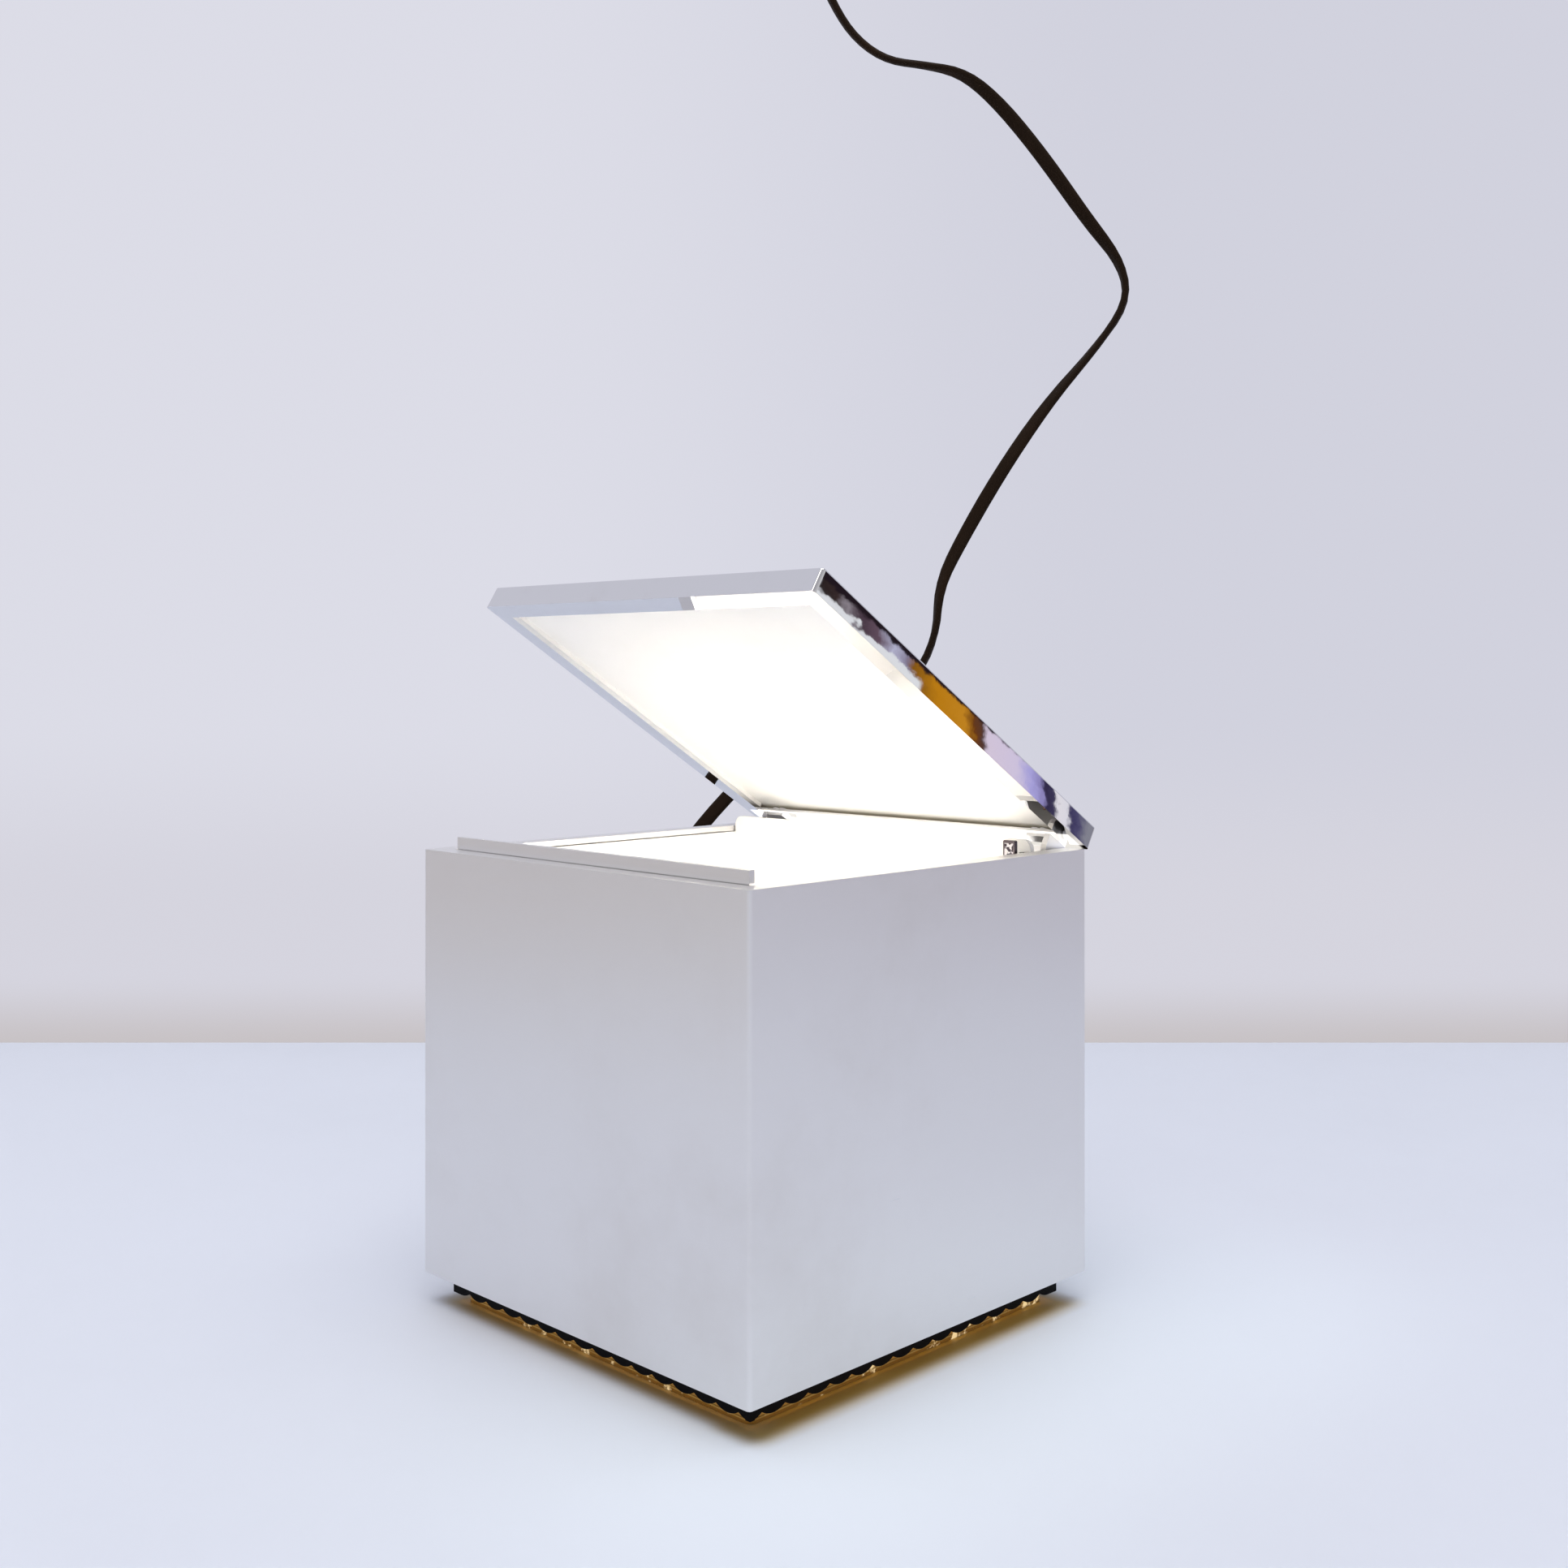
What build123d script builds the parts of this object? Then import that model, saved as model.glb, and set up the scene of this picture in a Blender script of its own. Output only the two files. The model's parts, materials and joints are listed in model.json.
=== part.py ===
"""Cube table lamp: an aluminium sleeve on a vented base, with a hinged lid that works the switch."""

import os
from math import cos, pi, radians, sin, sqrt, tan

from build123d import *

os.makedirs("parts", exist_ok=True)

# Sleeve: a square tube that stands clear of the table on the base
body_width = 100.0
sleeve_height = 90.0
sleeve_wall = 1.2
corner_radius = 0.8
sleeve_lift = 6.4
ledge_width = 4.6

# Lid: a shallow tray with a return flange, closed a small reveal above the sleeve
lid_height = 5.2
lid_wall = 1.0
lid_gap = 1.0
lid_flange = 4.5
lid_rear_flange = 6.4
lid_edge_radius = 0.4
lid_open_angle = 31.6
reflector_stand = 1.0
reflector_sheet = 0.6
reflector_clearance = 0.2

# Hinge: two arms under the rear flange turn on stub pins near the top of the back wall
pivot_inset = 1.6
pivot_drop = 1.6
hinge_inset = 6.9
pin_radius = 0.8
pin_fit = 0.07
eye_radius = 1.5
arm_thickness = 1.4
arm_foot_width = 5.0
arm_foot_depth = 3.0
arm_foot_setback = 3.2
arm_foot_thickness = 0.7
cheek_thickness = 0.9
cheek_gap = 0.3
cheek_radius = 1.3
bracket_height = 12.0
bracket_depth = 3.0
bracket_sheet = 1.0
notch_depth = 3.6
notch_clearance = 0.4
rivet_radius = 0.8
rivet_head_radius = 1.4
rivet_head_height = 0.5
rivet_fit = 0.05

# Lid switch: a spiral cam on the right arm lets a sliding plunger follow the lid
cam_radius = 4.8
cam_rise = 1.0
cam_clearance = 0.3
plunger_height = 2.0
plunger_head_width = 3.0
plunger_head_rise = 2.4
plunger_head_thickness = 1.0
plunger_head_stand = 2.4
plunger_head_offset = 1.2
slide_clearance = 0.3
switch_depth = 3.8
switch_drop = 12.6
switch_top_gap = 0.4
blade_length = 4.0
blade_width = 1.4
blade_sheet = 0.8
blade_spacing = 1.8

# Base: a black tray with a hanging vent skirt cut into rounded teeth, half a tooth at two of its corners
foot_stand = 0.4
rim_inset = 6.9
rim_wall = 1.6
rim_corner = 1.5
tray_floor = 2.0
flange_top = 10.0
flange_thickness = 2.0
skirt_inset = 4.5
skirt_wall = 1.2
tooth_count = 15
tooth_tip = 2.0
tooth_depth = 0.9
vent_count = 5
vent_length = 14.0
band_sheet = 0.4
band_bottom = 1.2
foot_inset = 3.1
foot_band = 3.4
foot_corner = 3.0
foot_pocket = 1.0
post_radius = 3.6
post_inset = 10.1
post_spread = 40.0
screw_radius = 1.5
screw_head_radius = 2.9
screw_head_height = 1.6
screw_fit = 0.1

# Reflector well, its front lip and the rear panel
shield_sheet = 0.8
shield_slot_width = 3.0
well_sheet = 1.0
well_gap = 2.3
well_drop = 1.5
lip_gap = 0.4
lip_sheet = 1.3
lip_end_gap = 0.6
lip_rise = 2.6
lip_depth = 9.0
lip_rivet_spacing = 60.0
lip_rivet_drop = 5.5
panel_inset = 13.0
panel_sheet = 1.2
panel_rise = 2.4
panel_end_gap = 0.4
panel_corner = 2.0
cover_sheet = 0.8
cover_drop = 0.3
cover_edge = 6.0
cover_end_gap = 6.6

# Lamp holder and bulb
holder_radius = 13.0
holder_foot_radius = 17.0
holder_foot_height = 3.0
holder_height = 44.0
holder_floor = 22.0
holder_bore = 8.2
holder_clearance = 1.0
holder_screw_spacing = 28.0
shell_wall = 0.6
shell_fit = 0.1
bulb_seat = 25.6
bulb_tip_height = 1.5
bulb_tip_radius = 2.2
cap_radius = 6.9
cap_root = 6.3
cap_turns = 5
cap_height = 18.5
glass_radius = 15.0
glass_neck_radius = 6.4
glass_height = 38.0
glass_wall = 0.8
stem_radius = 2.4
stem_height = 15.0
support_radius = 0.5
support_spread = 10.0
support_height = 24.0

# Wiring in the rear compartment
lead_height = 20.0
terminal_bottom = 36.0
terminal_height = 12.0
terminal_width = 18.0
terminal_depth = 7.0
clamp_width = 14.0
clamp_bottom = 27.0
clamp_height = 5.0
clamp_cover = 1.5
clamp_fit = 0.1
wire_radius = 0.7
wire_inset = 8.2

# Strain relief and mains lead
relief_collar_radius = 6.0
relief_collar = 1.2
relief_neck_radius = 4.4
relief_neck_fit = 0.1
relief_flange = 1.5
relief_root_radius = 4.6
relief_tip_radius = 2.9
relief_length = 24.0
relief_groove_count = 6
relief_groove_width = 1.2
relief_groove_depth = 0.9
relief_groove_pitch = 2.9
cord_radius = 2.0
coil_turns = 9.25
coil_layers = 4
coil_mean_radius = 22.0
coil_pitch = 4.45
coil_side = 38.0
coil_behind = 45.0
coil_start_angle = 45.0
tie_sheet = 1.0
tie_width = 6.0
tie_clearance = 0.5
tie_angle = 225.0
plug_width = 35.3
plug_thickness = 13.7
plug_neck_width = 12.0
plug_neck_thickness = 8.0
plug_length = 36.0
plug_taper = 24.0
plug_pin_radius = 2.0
plug_pin_length = 19.0
plug_pin_spacing = 18.6

# Places worked out from the sizes above
half = body_width / 2
sleeve_inner = half - sleeve_wall
sleeve_top = sleeve_lift + sleeve_height
pivot_y = half - pivot_inset
pivot_z = sleeve_top - pivot_drop
arm_x = half - hinge_inset
ledge_edge = half - ledge_width
lip_front = -ledge_edge + lip_gap
well_front = lip_front + lip_sheet
panel_front = half - panel_inset
panel_back = panel_front + panel_sheet
well_floor = flange_top + shield_sheet
well_floor_top = well_floor + well_sheet
well_top = sleeve_top - well_drop
well_half_width = sleeve_inner - well_gap
panel_top_half_width = ledge_edge - panel_end_gap
lip_half_length = ledge_edge - lip_end_gap
rim_half = half - rim_inset
foot_width = 2 * (rim_half - foot_inset)
skirt_half = half - skirt_inset
tray_inside = foot_stand + tray_floor
holder_y = (well_front + panel_front) / 2
coil_centre = (-coil_side, half + coil_behind)

open_angle = radians(lid_open_angle)
lid_forward = (0, -cos(open_angle), sin(open_angle))
lid_up = (0, sin(open_angle), cos(open_angle))
lid_plane = Plane(origin=(0, pivot_y, pivot_z), x_dir=(1, 0, 0), z_dir=lid_up)
lid_rim = pivot_drop + lid_gap
lid_middle = pivot_inset - half


def keep(piece, name):
    """Label a finished piece and write it under its own name."""
    piece.part.label = name
    export_step(piece.part, f"parts/{name}.step")


def side_plane(turn, distance):
    """Upright plane on one of the four sides, facing outwards: 0 is the front and 1 the right."""
    angle = radians(90 * turn)
    outward = (sin(angle), -cos(angle), 0)
    return Plane(
        origin=(distance * outward[0], distance * outward[1], 0),
        x_dir=(cos(angle), sin(angle), 0),
        z_dir=outward,
    )


def facing_back(y):
    """Upright plane at y, facing +Y, with X to its left and Z up."""
    return Plane(origin=(0, y, 0), x_dir=(-1, 0, 0), z_dir=(0, 1, 0))


def facing_front(y):
    """Upright plane at y, facing -Y, with X to its right and Z up."""
    return Plane(origin=(0, y, 0), x_dir=(1, 0, 0), z_dir=(0, -1, 0))


# Sleeve with its ledge, the two hinge notches and the lead hole
notch_width = arm_thickness + 2 * (cheek_gap + cheek_thickness + notch_clearance)
bracket_rivet_z = pivot_z - bracket_height + bracket_depth
with BuildPart() as body_sleeve:
    with BuildSketch(Plane.XY.offset(sleeve_lift)):
        RectangleRounded(body_width, body_width, corner_radius)
        Rectangle(2 * sleeve_inner, 2 * sleeve_inner, mode=Mode.SUBTRACT)
    extrude(amount=sleeve_height)
    with BuildSketch(Plane.XY.offset(sleeve_top - sleeve_wall)):
        Rectangle(2 * sleeve_inner, 2 * sleeve_inner)
        with Locations((0, sleeve_inner - (sleeve_inner + ledge_edge) / 2)):
            Rectangle(2 * ledge_edge, sleeve_inner + ledge_edge, mode=Mode.SUBTRACT)
    extrude(amount=sleeve_wall)
    with BuildSketch(facing_back(half)):
        with Locations((-arm_x, sleeve_top - notch_depth / 2), (arm_x, sleeve_top - notch_depth / 2)):
            Rectangle(notch_width, notch_depth)
        with Locations((0, lead_height)):
            Circle(relief_neck_radius + relief_neck_fit)
        with Locations((-arm_x, bracket_rivet_z), (arm_x, bracket_rivet_z)):
            Circle(rivet_radius + rivet_fit)
    extrude(amount=-sleeve_wall, mode=Mode.SUBTRACT)
keep(body_sleeve, "body_sleeve")

# Base tray: floor, rim, flange inside the sleeve, and the toothed skirt outside the rim
post_points = GridLocations(2 * (rim_half - post_inset), post_spread, 2, 2).locations
holder_screw_points = [(-holder_screw_spacing / 2, holder_y), (holder_screw_spacing / 2, holder_y)]
vent_ring = (rim_half + skirt_half - skirt_wall) / 2
vent_width = skirt_half - skirt_wall - rim_half
vent_pitch = 2 * rim_half / vent_count
tooth_pitch = 2 * skirt_half / (tooth_count + 0.5)
tooth_radius = (tooth_pitch**2 / 4 + tooth_depth**2) / (2 * tooth_depth)
scallop_top = tooth_tip + tooth_depth
with BuildPart() as base_tray:
    with BuildSketch(Plane.XY.offset(foot_stand)):
        RectangleRounded(2 * rim_half, 2 * rim_half, rim_corner)
    extrude(amount=flange_top - foot_stand)
    with BuildSketch(Plane.XY.offset(tray_inside)):
        Rectangle(2 * (rim_half - rim_wall), 2 * (rim_half - rim_wall))
    extrude(amount=flange_top - tray_inside, mode=Mode.SUBTRACT)
    with BuildSketch(Plane.XY.offset(flange_top - flange_thickness)):
        Rectangle(2 * sleeve_inner, 2 * sleeve_inner)
        Rectangle(2 * (rim_half - rim_wall), 2 * (rim_half - rim_wall), mode=Mode.SUBTRACT)
    extrude(amount=flange_thickness)
    with BuildSketch(Plane.XY.offset(scallop_top)):
        Rectangle(2 * skirt_half, 2 * skirt_half)
        Rectangle(2 * (skirt_half - skirt_wall), 2 * (skirt_half - skirt_wall), mode=Mode.SUBTRACT)
    extrude(amount=flange_top - flange_thickness - scallop_top)
    for turn in range(4):
        corner = skirt_half * (-1) ** turn
        step = -tooth_pitch * (-1) ** turn
        with BuildSketch(side_plane(turn, skirt_half)):
            for tooth in range(tooth_count + 1):
                with Locations((corner + tooth * step, tooth_tip + tooth_radius)):
                    Circle(tooth_radius)
            with Locations((-corner - step / 4, tooth_tip + tooth_depth / 2)):
                Rectangle(tooth_pitch / 2, tooth_depth)
            with Locations((0, tooth_tip + tooth_depth / 2)):
                Rectangle(2 * skirt_half, tooth_depth, mode=Mode.INTERSECT)
        extrude(amount=-skirt_wall)
    with BuildSketch(Plane.XY.offset(flange_top)):
        with PolarLocations(vent_ring, 4):
            with GridLocations(1, vent_pitch, 1, vent_count):
                Rectangle(vent_width, vent_length)
    extrude(amount=-flange_thickness, mode=Mode.SUBTRACT)
    with BuildSketch(Plane.XY.offset(foot_stand)):
        with Locations(post_points):
            Circle(post_radius)
    extrude(amount=flange_top - foot_stand)
    with BuildSketch(Plane.XY.offset(foot_stand)):
        with Locations(post_points):
            Circle(screw_radius + screw_fit)
        with Locations(holder_screw_points):
            Circle(screw_radius + screw_fit)
    extrude(amount=flange_top - foot_stand, mode=Mode.SUBTRACT)
    with BuildSketch(Plane.XY.offset(foot_stand)):
        with Locations(post_points):
            Circle(screw_head_radius + screw_fit)
        with Locations(holder_screw_points):
            Circle(screw_head_radius + screw_fit)
    extrude(amount=screw_head_height, mode=Mode.SUBTRACT)
    with BuildSketch(Plane.XY.offset(foot_stand)):
        RectangleRounded(foot_width, foot_width, foot_corner)
        Rectangle(foot_width - 2 * foot_band, foot_width - 2 * foot_band, mode=Mode.SUBTRACT)
    extrude(amount=foot_pocket, mode=Mode.SUBTRACT)
keep(base_tray, "base_tray")

# Rubber foot: a square band in a groove under the tray
with BuildPart() as rubber_foot:
    with BuildSketch():
        RectangleRounded(foot_width, foot_width, foot_corner)
        Rectangle(foot_width - 2 * foot_band, foot_width - 2 * foot_band, mode=Mode.SUBTRACT)
    extrude(amount=foot_stand + foot_pocket)
keep(rubber_foot, "rubber_foot")

# Gold band round the rim, behind the teeth
with BuildPart() as vent_band:
    with BuildSketch(Plane.XY.offset(band_bottom)):
        RectangleRounded(2 * (rim_half + band_sheet), 2 * (rim_half + band_sheet), rim_corner + band_sheet)
        RectangleRounded(2 * rim_half, 2 * rim_half, rim_corner, mode=Mode.SUBTRACT)
    extrude(amount=flange_top - flange_thickness - band_bottom)
keep(vent_band, "vent_band")

# Gold heat shield on the tray's flange, slotted above the vents
shield_slot_ring = rim_half - rim_wall / 2
with BuildPart() as heat_shield:
    with BuildSketch(Plane.XY.offset(flange_top)):
        with Locations((0, (panel_front - sleeve_inner) / 2)):
            Rectangle(2 * sleeve_inner, panel_front + sleeve_inner)
        with Locations((0, holder_y)):
            Circle(holder_radius + holder_clearance, mode=Mode.SUBTRACT)
        with Locations(post_points):
            Circle(screw_radius + screw_fit, mode=Mode.SUBTRACT)
        with PolarLocations(shield_slot_ring, 3, start_angle=180, angular_range=270):
            with GridLocations(1, vent_pitch, 1, vent_count - 2):
                Rectangle(shield_slot_width, vent_length, mode=Mode.SUBTRACT)
    extrude(amount=shield_sheet)
keep(heat_shield, "heat_shield")

# White well: floor, front wall and two side walls under the ledge
well_middle = (panel_back + well_front) / 2
with BuildPart() as reflector_well:
    with BuildSketch(Plane.XY.offset(well_floor)):
        with Locations((0, well_middle)):
            Rectangle(2 * well_half_width, panel_back - well_front)
        with Locations((0, holder_y)):
            Circle(holder_radius + holder_clearance, mode=Mode.SUBTRACT)
        with PolarLocations(shield_slot_ring - shield_slot_width, 3, start_angle=180, angular_range=270):
            with GridLocations(1, vent_pitch, 1, vent_count - 2):
                Rectangle(shield_slot_width, vent_length, mode=Mode.SUBTRACT)
    extrude(amount=well_sheet)
    with BuildSketch(Plane.XY.offset(well_floor)):
        with Locations((0, (panel_front + well_front) / 2)):
            Rectangle(2 * well_half_width, panel_front - well_front)
            Rectangle(2 * (well_half_width - well_sheet), panel_front - well_front, mode=Mode.SUBTRACT)
    extrude(amount=well_top - well_floor)
    with BuildSketch(facing_front(well_front)):
        with Locations((0, (well_floor + well_top) / 2)):
            Rectangle(2 * well_half_width, well_top - well_floor)
    extrude(amount=-well_sheet)
    with BuildSketch(facing_front(well_front)):
        with Locations((0, sleeve_top - lip_rivet_drop)):
            with GridLocations(lip_rivet_spacing, 1, 2, 1):
                Circle(rivet_radius + rivet_fit)
    extrude(amount=-well_sheet, mode=Mode.SUBTRACT)
    with BuildSketch(Plane.XY.offset(well_floor)):
        with Locations(post_points):
            Circle(screw_radius)
    extrude(amount=well_sheet, mode=Mode.SUBTRACT)
keep(reflector_well, "reflector_well")

# Front lip riveted to the well's front wall
with BuildPart() as front_lip:
    with BuildSketch(facing_front(lip_front)):
        with Locations((0, sleeve_top + lip_rise - (lip_rise + lip_depth) / 2)):
            Rectangle(2 * lip_half_length, lip_rise + lip_depth)
        with Locations((0, sleeve_top - lip_rivet_drop)):
            with GridLocations(lip_rivet_spacing, 1, 2, 1):
                Circle(rivet_radius + rivet_fit, mode=Mode.SUBTRACT)
    extrude(amount=-lip_sheet)
keep(front_lip, "front_lip")

with BuildPart() as lip_rivets:
    for start, radius, length in (
        (lip_front, rivet_radius, lip_sheet + well_sheet),
        (lip_front - rivet_head_height, rivet_head_radius, rivet_head_height),
        (well_front + well_sheet, rivet_head_radius, rivet_head_height),
    ):
        with BuildSketch(facing_front(start)):
            with Locations((0, sleeve_top - lip_rivet_drop)):
                with GridLocations(lip_rivet_spacing, 1, 2, 1):
                    Circle(radius)
        extrude(amount=-length)
keep(lip_rivets, "lip_rivets")

# Rear panel in front of the hinge, with a slot for the plunger
with BuildPart() as rear_panel:
    with BuildSketch(facing_front(panel_front)) as panel_face:
        with Locations((0, (well_floor_top + well_top) / 2)):
            Rectangle(2 * well_half_width, well_top - well_floor_top)
        with Locations((0, (well_top + sleeve_top + panel_rise) / 2)):
            Rectangle(2 * panel_top_half_width, well_drop + panel_rise)
        fillet(panel_face.vertices().group_by(Axis.Y)[-1], panel_corner)
        with Locations((arm_x, pivot_z)):
            Rectangle(
                arm_thickness + 2 * slide_clearance, plunger_height + 2 * slide_clearance, mode=Mode.SUBTRACT
            )
    extrude(amount=-panel_sheet)
keep(rear_panel, "rear_panel")

# White cover over the rear compartment, between the hinge arms, with a turned-down edge on the panel
cover_depth = sleeve_inner - panel_back
with BuildPart() as hinge_cover:
    with BuildSketch(Plane.XY.offset(sleeve_top - cover_drop)):
        with Locations((0, (sleeve_inner + panel_back) / 2)):
            Rectangle(2 * (arm_x - cover_end_gap), cover_depth)
    extrude(amount=-cover_sheet)
    with BuildSketch(facing_back(panel_back)):
        with Locations((0, sleeve_top - cover_drop - cover_edge / 2)):
            Rectangle(2 * (arm_x - cover_end_gap), cover_edge)
    extrude(amount=cover_sheet)
keep(hinge_cover, "hinge_cover")

# Lid shell: closed tray, hollowed, with the return flange round its window
lid_cavity = body_width - 2 * lid_wall
window_depth = body_width - lid_flange - lid_rear_flange
window_middle = pivot_inset - lid_rear_flange - window_depth / 2
arm_rivet_y = pivot_inset - arm_foot_setback - arm_foot_depth / 2
arm_rivet_points = [
    (sign * (arm_x - arm_thickness / 2 - arm_foot_width * share), arm_rivet_y)
    for sign in (-1, 1)
    for share in (0.3, 0.75)
]
with BuildPart() as lid_shell:
    with BuildSketch(lid_plane.offset(lid_rim)):
        with Locations((0, lid_middle)):
            RectangleRounded(body_width, body_width, corner_radius)
    extrude(amount=lid_height)
    lid_axis = Axis(lid_plane.origin, lid_plane.z_dir)
    fillet(lid_shell.faces().sort_by(lid_axis)[-1].edges(), lid_edge_radius)
    with BuildSketch(lid_plane.offset(lid_rim + lid_wall)):
        with Locations((0, lid_middle)):
            Rectangle(lid_cavity, lid_cavity)
    extrude(amount=lid_height - 2 * lid_wall, mode=Mode.SUBTRACT)
    with BuildSketch(lid_plane.offset(lid_rim)):
        with Locations((0, window_middle)):
            Rectangle(body_width - 2 * lid_flange, window_depth)
        with Locations(arm_rivet_points):
            Circle(rivet_radius + rivet_fit)
    extrude(amount=lid_wall, mode=Mode.SUBTRACT)
keep(lid_shell, "lid_shell")

# White reflector pan in the lid: a plate with its front and sides turned down on the flange, round the window
reflector_width = lid_cavity - 2 * reflector_clearance
pan_width = body_width - 2 * lid_flange + 2 * reflector_clearance
pan_depth = window_depth + reflector_clearance
pan_middle = window_middle - reflector_clearance / 2
with BuildPart() as lid_reflector:
    with BuildSketch(lid_plane.offset(lid_rim + lid_wall + reflector_stand)):
        with Locations((0, lid_middle)):
            Rectangle(reflector_width, reflector_width)
    extrude(amount=reflector_sheet)
    with BuildSketch(lid_plane.offset(lid_rim + lid_wall)):
        with Locations((0, pan_middle - reflector_sheet / 2)):
            Rectangle(pan_width + 2 * reflector_sheet, pan_depth + reflector_sheet)
        with Locations((0, pan_middle)):
            Rectangle(pan_width, pan_depth, mode=Mode.SUBTRACT)
    extrude(amount=reflector_stand)
keep(lid_reflector, "lid_reflector")


def cam_point(angle):
    """Point of the spiral cam, at an angle below the lid's forward direction."""
    reach = cam_radius - cam_rise * angle
    return (reach * cos(angle), -reach * sin(angle))


def hinge_arm(side, with_cam):
    """Hinge arm with a riveted foot: the eye turns on the pin, and the cam drives the plunger."""
    outer_x = side * arm_x + arm_thickness / 2
    arm_plane = Plane(origin=(outer_x, pivot_y, pivot_z), x_dir=lid_forward, z_dir=(-1, 0, 0))
    low = eye_radius * cos(pi / 4)
    with BuildPart() as arm:
        with BuildSketch(arm_plane):
            with BuildLine():
                if with_cam:
                    Line((cam_radius, lid_rim), (cam_radius, 0))
                    steps = [pi / 2 * share / 6 for share in range(7)]
                    for start in (0, 2, 4):
                        ThreePointArc(*[cam_point(step) for step in steps[start : start + 3]])
                    Line(cam_point(pi / 2), (0, -eye_radius))
                    ThreePointArc((0, -eye_radius), (-low, -low), (-eye_radius, 0))
                else:
                    Line((cam_radius, lid_rim), (cam_radius, lid_rim / 2))
                    Line((cam_radius, lid_rim / 2), (low, -low))
                    ThreePointArc((low, -low), (-low, -low), (-eye_radius, 0))
                Line((-eye_radius, 0), (-eye_radius, lid_rim))
                Line((-eye_radius, lid_rim), (cam_radius, lid_rim))
            make_face()
            Circle(pin_radius + pin_fit, mode=Mode.SUBTRACT)
        extrude(amount=arm_thickness)
        with BuildSketch(lid_plane.offset(lid_rim)):
            foot_x = side * (arm_x - (arm_thickness + arm_foot_width) / 2)
            with Locations((foot_x, arm_rivet_y)):
                Rectangle(arm_foot_width, arm_foot_depth)
            with Locations([point for point in arm_rivet_points if point[0] * side > 0]):
                Circle(rivet_radius + rivet_fit, mode=Mode.SUBTRACT)
        extrude(amount=-arm_foot_thickness)
    return arm


hinge_arm_left = hinge_arm(-1, with_cam=False)
keep(hinge_arm_left, "hinge_arm_left")
hinge_arm_right = hinge_arm(1, with_cam=True)
keep(hinge_arm_right, "hinge_arm_right")

# Rivets through the arms' feet and the rear flange, flush below so that they pass the back wall
with BuildPart() as arm_rivets:
    for start, radius, length in (
        (lid_rim - arm_foot_thickness, rivet_radius, arm_foot_thickness + lid_wall),
        (lid_rim + lid_wall, rivet_head_radius, rivet_head_height),
    ):
        with BuildSketch(lid_plane.offset(start)):
            with Locations(arm_rivet_points):
                Circle(radius)
        extrude(amount=length)
keep(arm_rivets, "arm_rivets")


def hinge_bracket(side):
    """U-shaped bracket on the back wall, with a cheek on each side of the arm."""
    wall_middle = sleeve_top - notch_depth - bracket_height / 2
    inner = arm_thickness / 2 + cheek_gap
    with BuildPart() as bracket:
        for start in (inner, -inner - cheek_thickness):
            cheek_plane = Plane(origin=(side * arm_x + start, 0, 0), x_dir=(0, 1, 0), z_dir=(1, 0, 0))
            with BuildSketch(cheek_plane):
                with Locations((pivot_y, pivot_z)):
                    Circle(cheek_radius)
                with Locations((sleeve_inner - bracket_depth / 2, pivot_z - bracket_height + bracket_depth)):
                    Rectangle(bracket_depth, 2 * bracket_depth)
                make_hull()
                with Locations((sleeve_inner + sleeve_wall / 2, wall_middle)):
                    Rectangle(sleeve_wall, bracket_height, mode=Mode.SUBTRACT)
                with Locations((pivot_y, pivot_z)):
                    Circle(pin_radius + rivet_fit, mode=Mode.SUBTRACT)
            extrude(amount=cheek_thickness)
        with BuildSketch(facing_back(sleeve_inner)):
            with Locations((-side * arm_x, bracket_rivet_z)):
                Rectangle(2 * inner, 2 * bracket_depth)
                Circle(rivet_radius + rivet_fit, mode=Mode.SUBTRACT)
        extrude(amount=-bracket_sheet)
    return bracket


hinge_bracket_left = hinge_bracket(-1)
keep(hinge_bracket_left, "hinge_bracket_left")
hinge_bracket_right = hinge_bracket(1)
keep(hinge_bracket_right, "hinge_bracket_right")

# Stub pins, one through each bracket
pin_length = arm_thickness + 2 * (cheek_gap + cheek_thickness)
with BuildPart() as hinge_pins:
    for side in (-1, 1):
        with BuildSketch(Plane.YZ.offset(side * arm_x - pin_length / 2)):
            with Locations((pivot_y, pivot_z)):
                Circle(pin_radius)
        extrude(amount=pin_length)
keep(hinge_pins, "hinge_pins")

with BuildPart() as bracket_rivets:
    for start, radius, length in (
        (half, rivet_radius, sleeve_wall + bracket_sheet),
        (half + rivet_head_height, rivet_head_radius, rivet_head_height),
        (sleeve_inner - bracket_sheet, rivet_radius, rivet_head_height),
    ):
        with BuildSketch(facing_back(start)):
            with Locations((-arm_x, bracket_rivet_z), (arm_x, bracket_rivet_z)):
                Circle(radius)
        extrude(amount=-length)
keep(bracket_rivets, "bracket_rivets")

# Switch block on the back of the rear panel, with the plunger's slideway
switch_width = arm_thickness + 2 * (slide_clearance + cheek_thickness + cheek_gap)
switch_top = sleeve_top - switch_top_gap
switch_bottom = switch_top - switch_drop
switch_screw_points = [(-arm_x, pivot_z - switch_drop * share) for share in (0.35, 0.7)]
with BuildPart() as switch_body:
    with BuildSketch(facing_back(panel_back)):
        with Locations((-arm_x, (switch_top + switch_bottom) / 2)):
            Rectangle(switch_width, switch_drop)
        with Locations((-arm_x, pivot_z)):
            Rectangle(
                arm_thickness + 2 * slide_clearance, plunger_height + 2 * slide_clearance, mode=Mode.SUBTRACT
            )
        with Locations(switch_screw_points):
            Circle(rivet_radius + rivet_fit, mode=Mode.SUBTRACT)
    extrude(amount=switch_depth)
keep(switch_body, "switch_body")

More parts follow.
